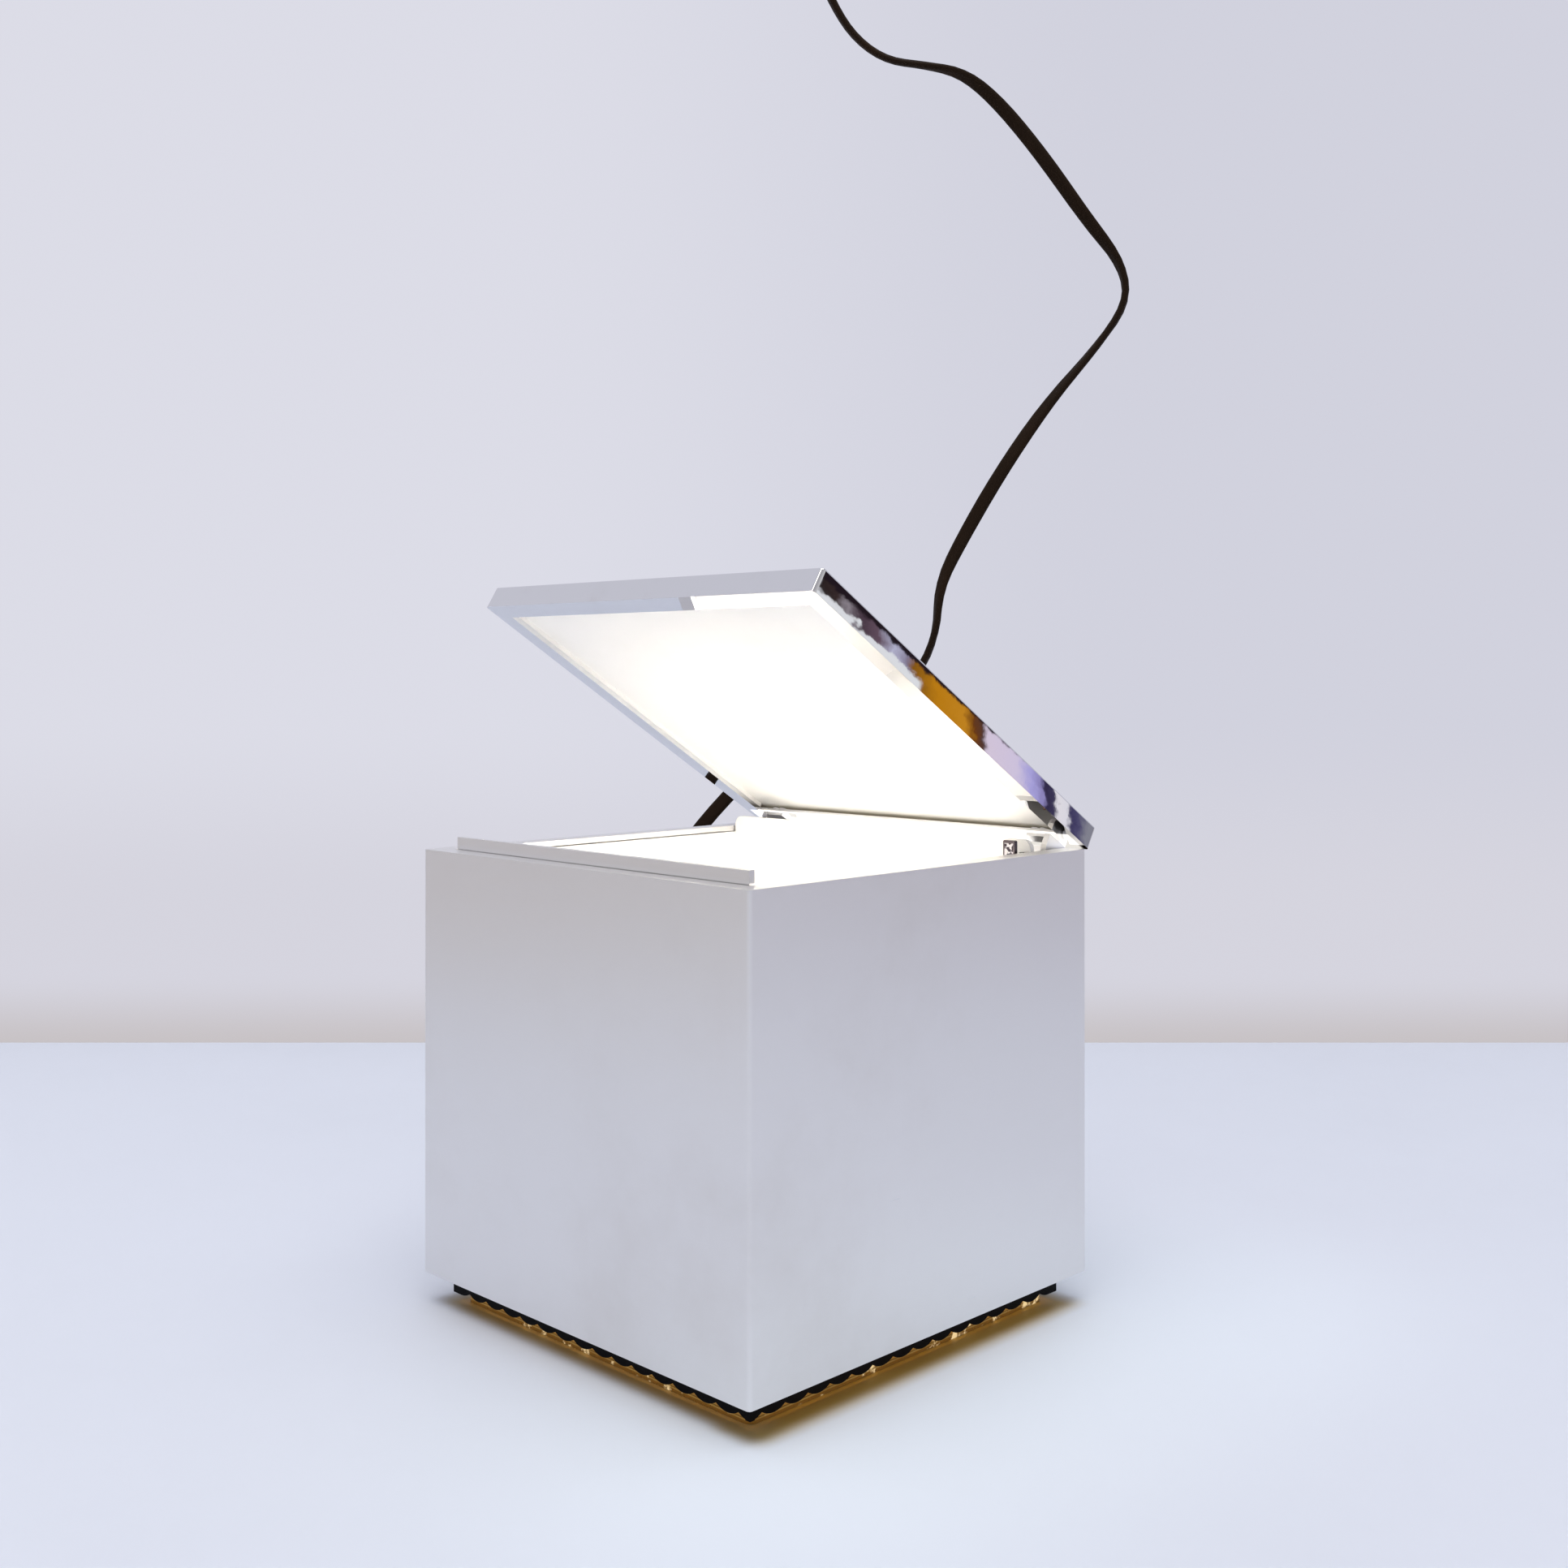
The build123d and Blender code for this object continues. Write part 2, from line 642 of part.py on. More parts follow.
with BuildPart() as switch_screws:
    with BuildSketch(facing_back(panel_back)):
        with Locations(switch_screw_points):
            Circle(rivet_radius)
    extrude(amount=switch_depth)
    with BuildSketch(facing_back(panel_back + switch_depth)):
        with Locations(switch_screw_points):
            Circle(rivet_head_radius)
    extrude(amount=rivet_head_height)
keep(switch_screws, "switch_screws")

blade_y = panel_back + switch_depth / 2
with BuildPart() as switch_terminals:
    with BuildSketch(Plane.XY.offset(switch_bottom)):
        with Locations((arm_x, blade_y)):
            with GridLocations(blade_spacing, 1, 2, 1):
                Rectangle(blade_sheet, blade_width)
    extrude(amount=-blade_length)
keep(switch_terminals, "switch_terminals")

# Plunger: a flat bar behind the panel with a square head in front of it
plunger_tail = pivot_y - (cam_radius - cam_rise * open_angle) - cam_clearance
plunger_face = panel_front - plunger_head_stand
with BuildPart() as switch_plunger:
    with BuildSketch(facing_back(plunger_face)):
        with Locations((-arm_x, pivot_z)):
            Rectangle(arm_thickness, plunger_height)
    extrude(amount=plunger_tail - plunger_face)
    fillet(switch_plunger.edges().filter_by(Axis.X).group_by(Axis.Y)[-1], plunger_height * 0.4)
    head_bottom = pivot_z - plunger_height / 2
    head_top = sleeve_top + plunger_head_rise
    with BuildSketch(facing_front(plunger_face)):
        with Locations((arm_x - plunger_head_offset, (head_bottom + head_top) / 2)):
            RectangleRounded(plunger_head_width, head_top - head_bottom, lid_edge_radius)
    extrude(amount=plunger_head_thickness)
keep(switch_plunger, "switch_plunger")

# Lamp holder on the tray's floor
holder_axis = Axis((0, holder_y, 0), (0, 0, 1))
holder_top = tray_inside + holder_height
holder_seat = tray_inside + holder_floor
section = Plane(origin=(0, holder_y, 0), x_dir=(1, 0, 0), z_dir=(0, -1, 0))
with BuildPart() as lamp_holder:
    with BuildSketch(section):
        with BuildLine():
            Polyline(
                (0, tray_inside),
                (holder_foot_radius, tray_inside),
                (holder_foot_radius, tray_inside + holder_foot_height),
                (holder_radius, tray_inside + holder_foot_height),
                (holder_radius, holder_top),
                (holder_bore, holder_top),
                (holder_bore, holder_seat),
                (0, holder_seat),
                close=True,
            )
        make_face()
    revolve(axis=holder_axis)
    with BuildSketch(Plane.XY.offset(tray_inside)):
        with Locations(holder_screw_points):
            Circle(screw_radius + screw_fit)
    extrude(amount=holder_foot_height, mode=Mode.SUBTRACT)
    top_circles = lamp_holder.edges().filter_by(GeomType.CIRCLE).group_by(Axis.Z)[-1]
    fillet(top_circles.sort_by(SortBy.RADIUS)[-1], well_sheet)
keep(lamp_holder, "lamp_holder")

with BuildPart() as holder_shell:
    with BuildSketch(Plane.XY.offset(holder_seat)):
        with Locations((0, holder_y)):
            Circle(holder_bore - shell_fit)
            Circle(holder_bore - shell_fit - shell_wall, mode=Mode.SUBTRACT)
    extrude(amount=holder_height - holder_floor - well_sheet)
keep(holder_shell, "holder_shell")

bulb_bottom = tray_inside + bulb_seat
with BuildPart() as holder_contact:
    with BuildSketch(Plane.XY.offset(holder_seat)):
        with Locations((0, holder_y)):
            Circle(bulb_tip_radius)
    extrude(amount=bulb_bottom - holder_seat)
keep(holder_contact, "holder_contact")

with BuildPart() as holder_screws:
    with BuildSketch(Plane.XY.offset(foot_stand)):
        with Locations(holder_screw_points):
            Circle(screw_head_radius)
    extrude(amount=screw_head_height)
    with BuildSketch(Plane.XY.offset(foot_stand)):
        with Locations(holder_screw_points):
            Circle(screw_radius)
    extrude(amount=tray_floor + holder_foot_height)
keep(holder_screws, "holder_screws")

# Bulb: contact tip, threaded cap, glass and the stem inside it
cap_bottom = bulb_bottom + bulb_tip_height
cap_top = cap_bottom + cap_height
with BuildPart() as bulb_tip:
    with BuildSketch(section):
        with BuildLine():
            Polyline(
                (0, bulb_bottom),
                (bulb_tip_radius / 2, bulb_bottom),
                (bulb_tip_radius, cap_bottom),
                (0, cap_bottom),
                close=True,
            )
        make_face()
    revolve(axis=holder_axis)
keep(bulb_tip, "bulb_tip")

thread_pitch = cap_height / (cap_turns + 1)
with BuildPart() as bulb_cap:
    with BuildSketch(section):
        with BuildLine():
            crests = [(0, cap_bottom), (cap_root, cap_bottom)]
            for turn in range(cap_turns):
                crests.append((cap_radius, cap_bottom + thread_pitch * (turn + 0.5)))
                crests.append((cap_root, cap_bottom + thread_pitch * (turn + 1)))
            crests += [(cap_radius, cap_top), (0, cap_top)]
            Polyline(*crests, close=True)
        make_face()
    revolve(axis=holder_axis)
keep(bulb_cap, "bulb_cap")


def glass_section(inset):
    """Half outline of the pear-shaped glass, drawn in by a wall."""
    middle = cap_top + glass_height - glass_radius
    round_radius = glass_radius - inset
    neck = (glass_neck_radius - inset, cap_top + inset)
    crown = (0, middle + round_radius)
    with BuildSketch(section) as outline:
        with BuildLine():
            Line((0, cap_top + inset), neck)
            TangentArc((round_radius, middle), neck, tangent=(0, -1))
            CenterArc((0, middle), round_radius, 0, 90)
            Line(crown, (0, cap_top + inset))
        make_face()
    return outline.sketch


with BuildPart() as bulb_glass:
    revolve(glass_section(0), axis=holder_axis)
    revolve(glass_section(glass_wall), axis=holder_axis, mode=Mode.SUBTRACT)
keep(bulb_glass, "bulb_glass")

stem_bottom = cap_top + glass_wall
with BuildPart() as bulb_filament:
    with BuildSketch(Plane.XY.offset(stem_bottom)):
        with Locations((0, holder_y)):
            Circle(stem_radius)
    extrude(amount=stem_height)
    stem_top = stem_bottom + stem_height
    support_top = stem_bottom + support_height
    with BuildLine():
        support = FilletPolyline(
            (-stem_radius / 2, holder_y, stem_top - stem_radius),
            (-stem_radius / 2, holder_y, stem_top + stem_radius),
            (-support_spread / 2, holder_y, support_top),
            (support_spread / 2, holder_y, support_top),
            (stem_radius / 2, holder_y, stem_top + stem_radius),
            (stem_radius / 2, holder_y, stem_top - stem_radius),
            radius=support_radius * 2,
        )
    with BuildSketch(Plane(origin=support @ 0, z_dir=support % 0)):
        Circle(support_radius)
    sweep()
keep(bulb_filament, "bulb_filament")

# Screws that hold the tray, the shield and the well together
with BuildPart() as base_screws:
    with BuildSketch(Plane.XY.offset(foot_stand)):
        with Locations(post_points):
            Circle(screw_head_radius)
    extrude(amount=screw_head_height)
    with BuildSketch(Plane.XY.offset(foot_stand)):
        with Locations(post_points):
            Circle(screw_radius)
    extrude(amount=well_floor_top - foot_stand)
keep(base_screws, "base_screws")

# Terminal block and cord clamp on the back of the rear panel
terminal_top = terminal_bottom + terminal_height
terminal_back = panel_back + terminal_depth
with BuildPart() as terminal_block:
    with BuildSketch(facing_back(panel_back)):
        with Locations((0, (terminal_bottom + terminal_top) / 2)):
            Rectangle(terminal_width, terminal_height)
    extrude(amount=terminal_depth)
    fillet(terminal_block.edges().filter_by(Axis.Z).group_by(Axis.Y)[-1], corner_radius)
keep(terminal_block, "terminal_block")

with BuildPart() as terminal_screws:
    with BuildSketch(facing_back(terminal_back)):
        with Locations((0, (terminal_bottom + terminal_top) / 2)):
            with GridLocations(terminal_width / 2, terminal_height / 2, 2, 2):
                Circle(rivet_head_radius)
                Rectangle(2 * rivet_head_radius, rivet_head_height, mode=Mode.SUBTRACT)
    extrude(amount=rivet_head_height)
    with BuildSketch(facing_back(terminal_back)):
        with Locations((0, (terminal_bottom + terminal_top) / 2)):
            with GridLocations(terminal_width / 2, terminal_height / 2, 2, 2):
                Circle(rivet_head_radius)
    extrude(amount=rivet_head_height / 2)
keep(terminal_screws, "terminal_screws")

lead_y = panel_back + cord_radius + slide_clearance
clamp_back = lead_y + cord_radius + clamp_cover
clamp_middle = clamp_bottom + clamp_height / 2
clamp_screw_spacing = clamp_width - 2 * rivet_head_radius
with BuildPart() as cord_clamp:
    with BuildSketch(Plane.XY.offset(clamp_bottom)):
        with Locations((0, (panel_back + clamp_back) / 2)):
            Rectangle(clamp_width, clamp_back - panel_back)
        with Locations((0, (panel_back + lead_y) / 2)):
            Rectangle(2 * (cord_radius + clamp_fit), lead_y - panel_back, mode=Mode.SUBTRACT)
        with Locations((0, lead_y)):
            Circle(cord_radius + clamp_fit, mode=Mode.SUBTRACT)
    extrude(amount=clamp_height)
    with BuildSketch(facing_back(clamp_back)):
        with Locations((0, clamp_middle)):
            with GridLocations(clamp_screw_spacing, 1, 2, 1):
                Circle(rivet_radius + rivet_fit)
    extrude(amount=panel_back - clamp_back, mode=Mode.SUBTRACT)
keep(cord_clamp, "cord_clamp")

with BuildPart() as clamp_screws:
    with BuildSketch(facing_back(panel_back)):
        with Locations((0, clamp_middle)):
            with GridLocations(clamp_screw_spacing, 1, 2, 1):
                Circle(rivet_radius)
    extrude(amount=clamp_back - panel_back)
    with BuildSketch(facing_back(clamp_back)):
        with Locations((0, clamp_middle)):
            with GridLocations(clamp_screw_spacing, 1, 2, 1):
                Circle(rivet_head_radius)
    extrude(amount=rivet_head_height)
keep(clamp_screws, "clamp_screws")


def corner_radii(points):
    """Largest even arcs for a cord's corners: 0.45 of the shorter run over the tangent of half the turn."""
    places = [Vector(point) for point in points]
    runs = [after - before for before, after in zip(places, places[1:])]
    return [
        0.45 * min(first.length, second.length) / tan(radians(first.get_angle(second)) / 2)
        for first, second in zip(runs, runs[1:])
    ]


def cord_tube(points, radius, name):
    """Round tube along straight runs joined by tangent arcs."""
    radii = corner_radii(points)
    with BuildPart() as tube:
        with BuildLine():
            route = FilletPolyline(*points, radius=radii)
        with BuildSketch(Plane(origin=route @ 0, z_dir=route % 0)):
            Circle(radius)
        sweep()
    ideal = pi * radius**2 * route.length
    print(f"{name}: length {route.length:.1f}, volume over ideal {tube.part.volume / ideal:.4f}")
    print(f"{name}: corner radii", [round(value, 1) for value in radii])
    return tube


# Lead inside the compartment, from the strain relief up to the terminal block
relief_inside = sleeve_inner - relief_collar
inner_lead = cord_tube(
    [
        (0, relief_inside, lead_height),
        (0, lead_y, lead_height),
        (0, lead_y, terminal_bottom),
    ],
    cord_radius,
    "inner_lead",
)
keep(inner_lead, "inner_lead")

# Wires from the terminal block up to the switch and down to the lamp holder
wire_y = panel_back + terminal_depth / 2
blade_bottom = switch_bottom - blade_length
wire_rise = blade_bottom - terminal_top


def switch_wire_route(start, setback, reach, shares, side):
    """Route of one wire from the terminal block, along the rear panel and up to a blade of the switch."""
    low, middle, high = [terminal_top + share * wire_rise for share in shares]
    blade_x = arm_x + side * blade_spacing / 2
    return [
        (start * terminal_width, wire_y + setback * terminal_depth, terminal_top),
        (start * terminal_width, wire_y + setback * terminal_depth, low),
        (reach * arm_x, wire_y + setback * terminal_depth, middle),
        (blade_x, blade_y, high),
        (blade_x, blade_y, blade_bottom),
    ]


switch_wire_routes = [
    switch_wire_route(0.17, 0.0, 0.835, (0.36, 0.57, 0.79), -1),
    switch_wire_route(0.39, 0.28, 0.93, (0.21, 0.39, 0.68), 1),
]
with BuildPart() as switch_wires:
    for points in switch_wire_routes:
        with BuildLine():
            route = FilletPolyline(*points, radius=3 * wire_radius)
        with BuildSketch(Plane(origin=route @ 0, z_dir=route % 0)):
            Circle(wire_radius)
        sweep()
keep(switch_wires, "switch_wires")

holder_wire_y = (panel_back + rim_half - rim_wall) / 2
holder_wire_z = tray_inside + holder_foot_height + 2 * wire_radius
holder_wire_end = holder_y + sqrt(holder_radius**2 - wire_inset**2) + slide_clearance + wire_radius
with BuildPart() as holder_wires:
    for side in (-1, 1):
        with BuildLine():
            route = FilletPolyline(
                (side * wire_inset, holder_wire_y, terminal_bottom),
                (side * wire_inset, holder_wire_y, holder_wire_z),
                (side * wire_inset, holder_wire_end, holder_wire_z),
                radius=3 * wire_radius,
            )
        with BuildSketch(Plane(origin=route @ 0, z_dir=route % 0)):
            Circle(wire_radius)
        sweep()
keep(holder_wires, "holder_wires")

# Strain relief: collar inside the wall, flange outside, and a grooved taper that bends with the lead
relief_end = half + relief_length
relief_section = Plane(origin=(0, 0, lead_height), x_dir=(0, 1, 0), z_dir=(-1, 0, 0))
with BuildPart() as strain_relief:
    with BuildSketch(relief_section):
        with BuildLine():
            Polyline(
                (relief_inside, 0),
                (relief_inside, relief_collar_radius),
                (sleeve_inner, relief_collar_radius),
                (sleeve_inner, relief_neck_radius),
                (half, relief_neck_radius),
                (half, relief_collar_radius),
                (half + relief_flange, relief_collar_radius),
                (half + relief_flange, relief_root_radius),
                (relief_end, relief_tip_radius),
                (relief_end, 0),
                close=True,
            )
        make_face()
    revolve(axis=Axis((0, 0, lead_height), (0, 1, 0)))
    with BuildSketch(relief_section):
        for groove in range(relief_groove_count):
            along = half + relief_flange + (groove + 1) * relief_groove_pitch
            share = (along - half - relief_flange) / (relief_length - relief_flange)
            reach = relief_root_radius + share * (relief_tip_radius - relief_root_radius)
            with Locations((along, reach)):
                Rectangle(relief_groove_width, 2 * relief_groove_depth)
    revolve(axis=Axis((0, 0, lead_height), (0, 1, 0)), mode=Mode.SUBTRACT)
keep(strain_relief, "strain_relief")

# Put-away coil: one tube that spirals in and out again, layer on layer
climb_turns = 0.5
layer_turns = (coil_turns - climb_turns * (coil_layers - 1)) / coil_layers
coil_outer = coil_mean_radius + coil_pitch * layer_turns / 2
coil_floor = tie_sheet + tie_clearance / 2 + cord_radius


def coil_place(turn):
    """Point of the coil's centre line after a number of turns."""
    layer = min(int(turn / (layer_turns + climb_turns)), coil_layers - 1)
    inside = turn - layer * (layer_turns + climb_turns)
    climbed = max(0.0, inside - layer_turns)
    drawn_in = inside - 2 * max(0.0, climbed - climb_turns / 2)
    if layer % 2:
        drawn_in = layer_turns - drawn_in
    reach = coil_outer - coil_pitch * drawn_in
    angle = radians(coil_start_angle) + 2 * pi * turn
    height = coil_floor + coil_pitch * (layer + climbed / climb_turns)
    return Vector(coil_centre[0] + reach * cos(angle), coil_centre[1] + reach * sin(angle), height)


def coil_heading(turn):
    """Direction of the coil's centre line, level at both ends."""
    step = 0.001
    ahead = coil_place(min(turn + step, coil_turns))
    behind = coil_place(max(turn - step, 0))
    return (ahead - behind).normalized()


def biarc(start, start_heading, end, end_heading):
    """Two tangent arcs from one place and heading to another."""
    across = end - start
    both = start_heading + end_heading
    spread = 2 * (1 - start_heading.dot(end_heading))
    along = across.dot(both)
    reach = (sqrt(along**2 + spread * across.dot(across)) - along) / spread
    middle = (start + end + (start_heading - end_heading) * reach) * 0.5
    middle_heading = (end - end_heading * reach - start - start_heading * reach).normalized()
    return (start_heading, start, middle), (middle_heading, middle, end)


quarter_count = round(coil_turns * 4)
quarters = [coil_turns * step / quarter_count for step in range(quarter_count + 1)]
coil_lead_in = coil_place(0) - coil_heading(0) * 2 * cord_radius
coil_lead_out = coil_place(coil_turns) + coil_heading(coil_turns) * 2 * cord_radius
with BuildPart() as cord_coil:
    with BuildLine() as coil_line:
        Line(coil_lead_in, coil_place(0))
        for before, after in zip(quarters, quarters[1:]):
            for heading, start, end in biarc(
                coil_place(before), coil_heading(before), coil_place(after), coil_heading(after)
            ):
                TangentArc(start, end, tangent=heading)
        Line(coil_place(coil_turns), coil_lead_out)
    with BuildSketch(Plane(origin=coil_lead_in, z_dir=coil_heading(0))):
        Circle(cord_radius)
    sweep()
keep(cord_coil, "cord_coil")

coil_route = coil_line.wires()[0]
coil_length = coil_route.length
coil_steps = 40 * quarter_count
coil_points = [coil_route @ (step / coil_steps) for step in range(coil_steps + 1)]
apart = round(coil_steps / coil_turns / 3)
least = min(
    (coil_points[first] - coil_points[second]).length
    for first in range(0, coil_steps + 1, 4)
    for second in range(first + apart, coil_steps + 1)
)
coil_ideal = pi * cord_radius**2 * coil_length
print(f"cord_coil: length {coil_length:.1f}, least gap to itself {least - 2 * cord_radius:.2f}")
print(f"cord_coil: volume over ideal {cord_coil.part.volume / coil_ideal:.4f}")

# Tie round the coil's section
tie_heading = radians(tie_angle)
tie_outward = (cos(tie_heading), sin(tie_heading), 0)
coil_inner = coil_outer - coil_pitch * (layer_turns + climb_turns / 2)
coil_outermost = coil_outer + coil_pitch * climb_turns / 2
tie_width_inside = coil_outermost - coil_inner + 2 * (cord_radius + tie_clearance)
tie_height_inside = coil_pitch * (coil_layers - 1) + 2 * cord_radius + tie_clearance
tie_reach = (coil_outermost + coil_inner) / 2
tie_plane = Plane(
    origin=(
        coil_centre[0] + tie_reach * tie_outward[0],
        coil_centre[1] + tie_reach * tie_outward[1],
        tie_sheet + tie_height_inside / 2,
    ),
    x_dir=tie_outward,
    z_dir=(tie_outward[1], -tie_outward[0], 0),
)
with BuildPart() as cord_tie:
    with BuildSketch(tie_plane):
        RectangleRounded(tie_width_inside + 2 * tie_sheet, tie_height_inside + 2 * tie_sheet, 2 * tie_sheet)
        RectangleRounded(tie_width_inside, tie_height_inside, tie_sheet, mode=Mode.SUBTRACT)
    extrude(amount=tie_width / 2, both=True)
keep(cord_tie, "cord_tie")

# Free lead from the strain relief down to the coil
lead_shares = [(0.0, 0.27, 0.0), (0.06, 0.515, 0.33), (0.38, 0.717, 0.8)]
lead_start = Vector(0, relief_end, lead_height)
lead_step = coil_lead_in - lead_start
lead_points = [
    lead_start + Vector(aside * lead_step.X, back * lead_step.Y, down * lead_step.Z)
    for aside, back, down in lead_shares
]
lead_arrival = coil_lead_in - coil_heading(0) * 3.25 * cord_radius
cord_lead = cord_tube([lead_start, *lead_points, lead_arrival, coil_lead_in], cord_radius, "cord_lead")
keep(cord_lead, "cord_lead")

# Mains cord: from the coil along the table, then up in one upright plane to its plug
cord_run = (-coil_heading(coil_turns).X, -coil_heading(coil_turns).Y)
cord_start = (29.9, coil_lead_out.Z)
mains_route = [
    (20.0, coil_lead_out.Z),
    (8.0, 14.5),
    (-6.0, 7.5),
    (-20.0, 4.6),
    (-33.0, 10.0),
    (-42.0, 23.0),
    (-44.5, 40.0),
    (-41.5, 58.0),
    (-34.5, 75.0),
    (-24.4, 90.0),
    (-10.0, 105.6),
    (4.4, 117.0),
    (24.0, 125.5),
    (37.5, 132.5),
    (43.4, 145.0),
    (44.0, 159.0),
    (51.0, 173.0),
    (62.0, 192.0),
    (75.0, 211.0),
    (89.0, 227.0),
    (97.6, 239.5),
    (95.5, 250.5),
    (86.0, 262.5),
    (73.1, 281.1),
    (61.0, 296.0),
    (51.0, 304.5),
    (40.0, 306.8),
    (29.0, 308.2),
    (19.8, 315.0),
    (13.4, 325.5),
    (9.5, 336.0),
    (9.5, 346.0),
]


def cord_place(along, height):
    """Place in the mains cord's upright plane."""
    reach = along - cord_start[0]
    return (coil_lead_out.X + reach * cord_run[0], coil_lead_out.Y + reach * cord_run[1], height)


mains_points = [cord_place(*point) for point in [cord_start] + mains_route]
mains_cord = cord_tube(mains_points, cord_radius, "mains_cord")
keep(mains_cord, "mains_cord")

# Plug above the cord: a flat tapered body with two round pins
plug_plane = Plane(origin=cord_place(*mains_route[-1]), x_dir=(*cord_run, 0), z_dir=(0, 0, 1))
plug_corner = plug_neck_thickness / 2.2
with BuildPart() as plug_body:
    with BuildSketch(plug_plane):
        RectangleRounded(plug_neck_width, plug_neck_thickness, plug_corner)
    with BuildSketch(plug_plane.offset(plug_taper)):
        RectangleRounded(plug_width, plug_thickness, plug_corner)
    loft()
    extrude(plug_body.faces().sort_by(Axis.Z)[-1], amount=plug_length - plug_taper)
keep(plug_body, "plug_body")

with BuildPart() as plug_pins:
    with BuildSketch(plug_plane.offset(plug_length)):
        with GridLocations(plug_pin_spacing, 1, 2, 1):
            Circle(plug_pin_radius)
    extrude(amount=plug_pin_length)
    fillet(plug_pins.faces().group_by(Axis.Z)[-1].edges(), plug_pin_radius / 2)
keep(plug_pins, "plug_pins")

cord_length = cord_lead.part.volume + cord_coil.part.volume + mains_cord.part.volume
print(f"free cord length about {cord_length / (pi * cord_radius**2):.0f}")
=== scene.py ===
# %% [markdown]
# # A cube table lamp with its lid open
#
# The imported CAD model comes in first, as a fixed frame. Every piece in this lesson is in metres, in the same
# frame: the origin is on the table under the middle of the box, the front is -Y and the hinge is at the back.
# Here Blender adds finishes, the soft lead and the light, and leaves the shapes of the rigid pieces alone.

# %% Load the frame
import json
from math import cos, pi, radians, sin

import bpy
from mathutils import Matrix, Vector


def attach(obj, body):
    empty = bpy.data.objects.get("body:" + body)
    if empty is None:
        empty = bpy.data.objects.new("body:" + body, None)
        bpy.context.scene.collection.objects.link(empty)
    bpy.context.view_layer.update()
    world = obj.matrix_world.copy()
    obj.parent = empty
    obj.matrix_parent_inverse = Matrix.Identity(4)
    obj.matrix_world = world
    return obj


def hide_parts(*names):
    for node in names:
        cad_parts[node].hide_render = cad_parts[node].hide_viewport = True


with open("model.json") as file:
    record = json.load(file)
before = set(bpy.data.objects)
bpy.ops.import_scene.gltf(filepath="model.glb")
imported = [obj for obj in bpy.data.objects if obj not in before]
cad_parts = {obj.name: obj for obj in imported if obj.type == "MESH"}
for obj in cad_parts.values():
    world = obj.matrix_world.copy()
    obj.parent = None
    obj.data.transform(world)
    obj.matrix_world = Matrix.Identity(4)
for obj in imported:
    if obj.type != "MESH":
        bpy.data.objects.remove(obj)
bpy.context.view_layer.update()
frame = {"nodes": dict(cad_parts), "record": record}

nodes = frame["nodes"]
MM = 0.001
print("CAD nodes:", len(nodes))

# %% [markdown]
# The camera stands level, a little above the box's open top, and looks at its nearest upright edge. A level
# camera keeps upright edges upright. The picture is then slid down with the camera's shift, because tilting
# the camera instead would make the sides of the box lean.

# %% Camera
def add_object(name, data):
    """Put new data into the scene as an object at the origin."""
    made = bpy.data.objects.new(name, data)
    bpy.context.scene.collection.objects.link(made)
    return made


camera_data = bpy.data.cameras.new("lamp_camera")
camera_data.lens = 39.284
camera_data.sensor_width = 36.0
camera_data.shift_y = -0.0684
camera_data.clip_start = 0.01
camera = add_object("lamp_camera", camera_data)
camera.location = (0.26204, -0.25477, 0.1332)
camera.rotation_euler = (radians(90), 0, radians(44.84))
bpy.context.scene.camera = camera
bpy.context.scene.view_settings.view_transform = "Standard"
print("camera at:", [round(value, 3) for value in camera.location])

# %% [markdown]
# The lead is a light flat twin flex. Most of it lies in a tied coil behind the box, wound in four flat
# layers, each one inwards or outwards. A formula gives the coil's points, because placing them by hand would
# leave uneven turns. All the route's points are in millimetres here.

# %% Coil of the lead
COIL_CENTRE = (-38.0, 95.0)
COIL_TURNS = 9.25
COIL_LAYERS = 4
COIL_MEAN_RADIUS = 22.0
COIL_PITCH = 4.45
COIL_START = radians(45)
COIL_FLOOR = 3.25
CLIMB_TURNS = 0.5
LAYER_TURNS = (COIL_TURNS - CLIMB_TURNS * (COIL_LAYERS - 1)) / COIL_LAYERS
COIL_OUTER = COIL_MEAN_RADIUS + COIL_PITCH * LAYER_TURNS / 2
POINTS_PER_TURN = 24
SMALL_TURN = 0.001


def coil_place(turn):
    """Point of the coil after a number of turns: in and out again, layer on layer."""
    layer = min(int(turn / (LAYER_TURNS + CLIMB_TURNS)), COIL_LAYERS - 1)
    into_layer = turn - layer * (LAYER_TURNS + CLIMB_TURNS)
    climbed = max(0.0, into_layer - LAYER_TURNS)
    drawn_in = into_layer - 2 * max(0.0, climbed - CLIMB_TURNS / 2)
    if layer % 2:
        drawn_in = LAYER_TURNS - drawn_in
    reach = COIL_OUTER - COIL_PITCH * drawn_in
    angle = COIL_START + 2 * pi * turn
    height = COIL_FLOOR + COIL_PITCH * (layer + climbed / CLIMB_TURNS)
    return Vector((COIL_CENTRE[0] + reach * cos(angle), COIL_CENTRE[1] + reach * sin(angle), height))


def coil_heading(turn):
    """Direction of the coil at a turn."""
    ahead = coil_place(min(turn + SMALL_TURN, COIL_TURNS))
    behind = coil_place(max(turn - SMALL_TURN, 0))
    return (ahead - behind).normalized()


coil_points = [coil_place(step / POINTS_PER_TURN) for step in range(round(COIL_TURNS * POINTS_PER_TURN) + 1)]
print("points of the coil:", len(coil_points))

# %% [markdown]
# The lead leaves the back of the lamp, goes down into the coil and rises from there to its plug. The rise
# lies in one upright plane, so a point needs only its distance along that plane, its height and its tilt in
# degrees. The tilt turns the flat side of the flex.

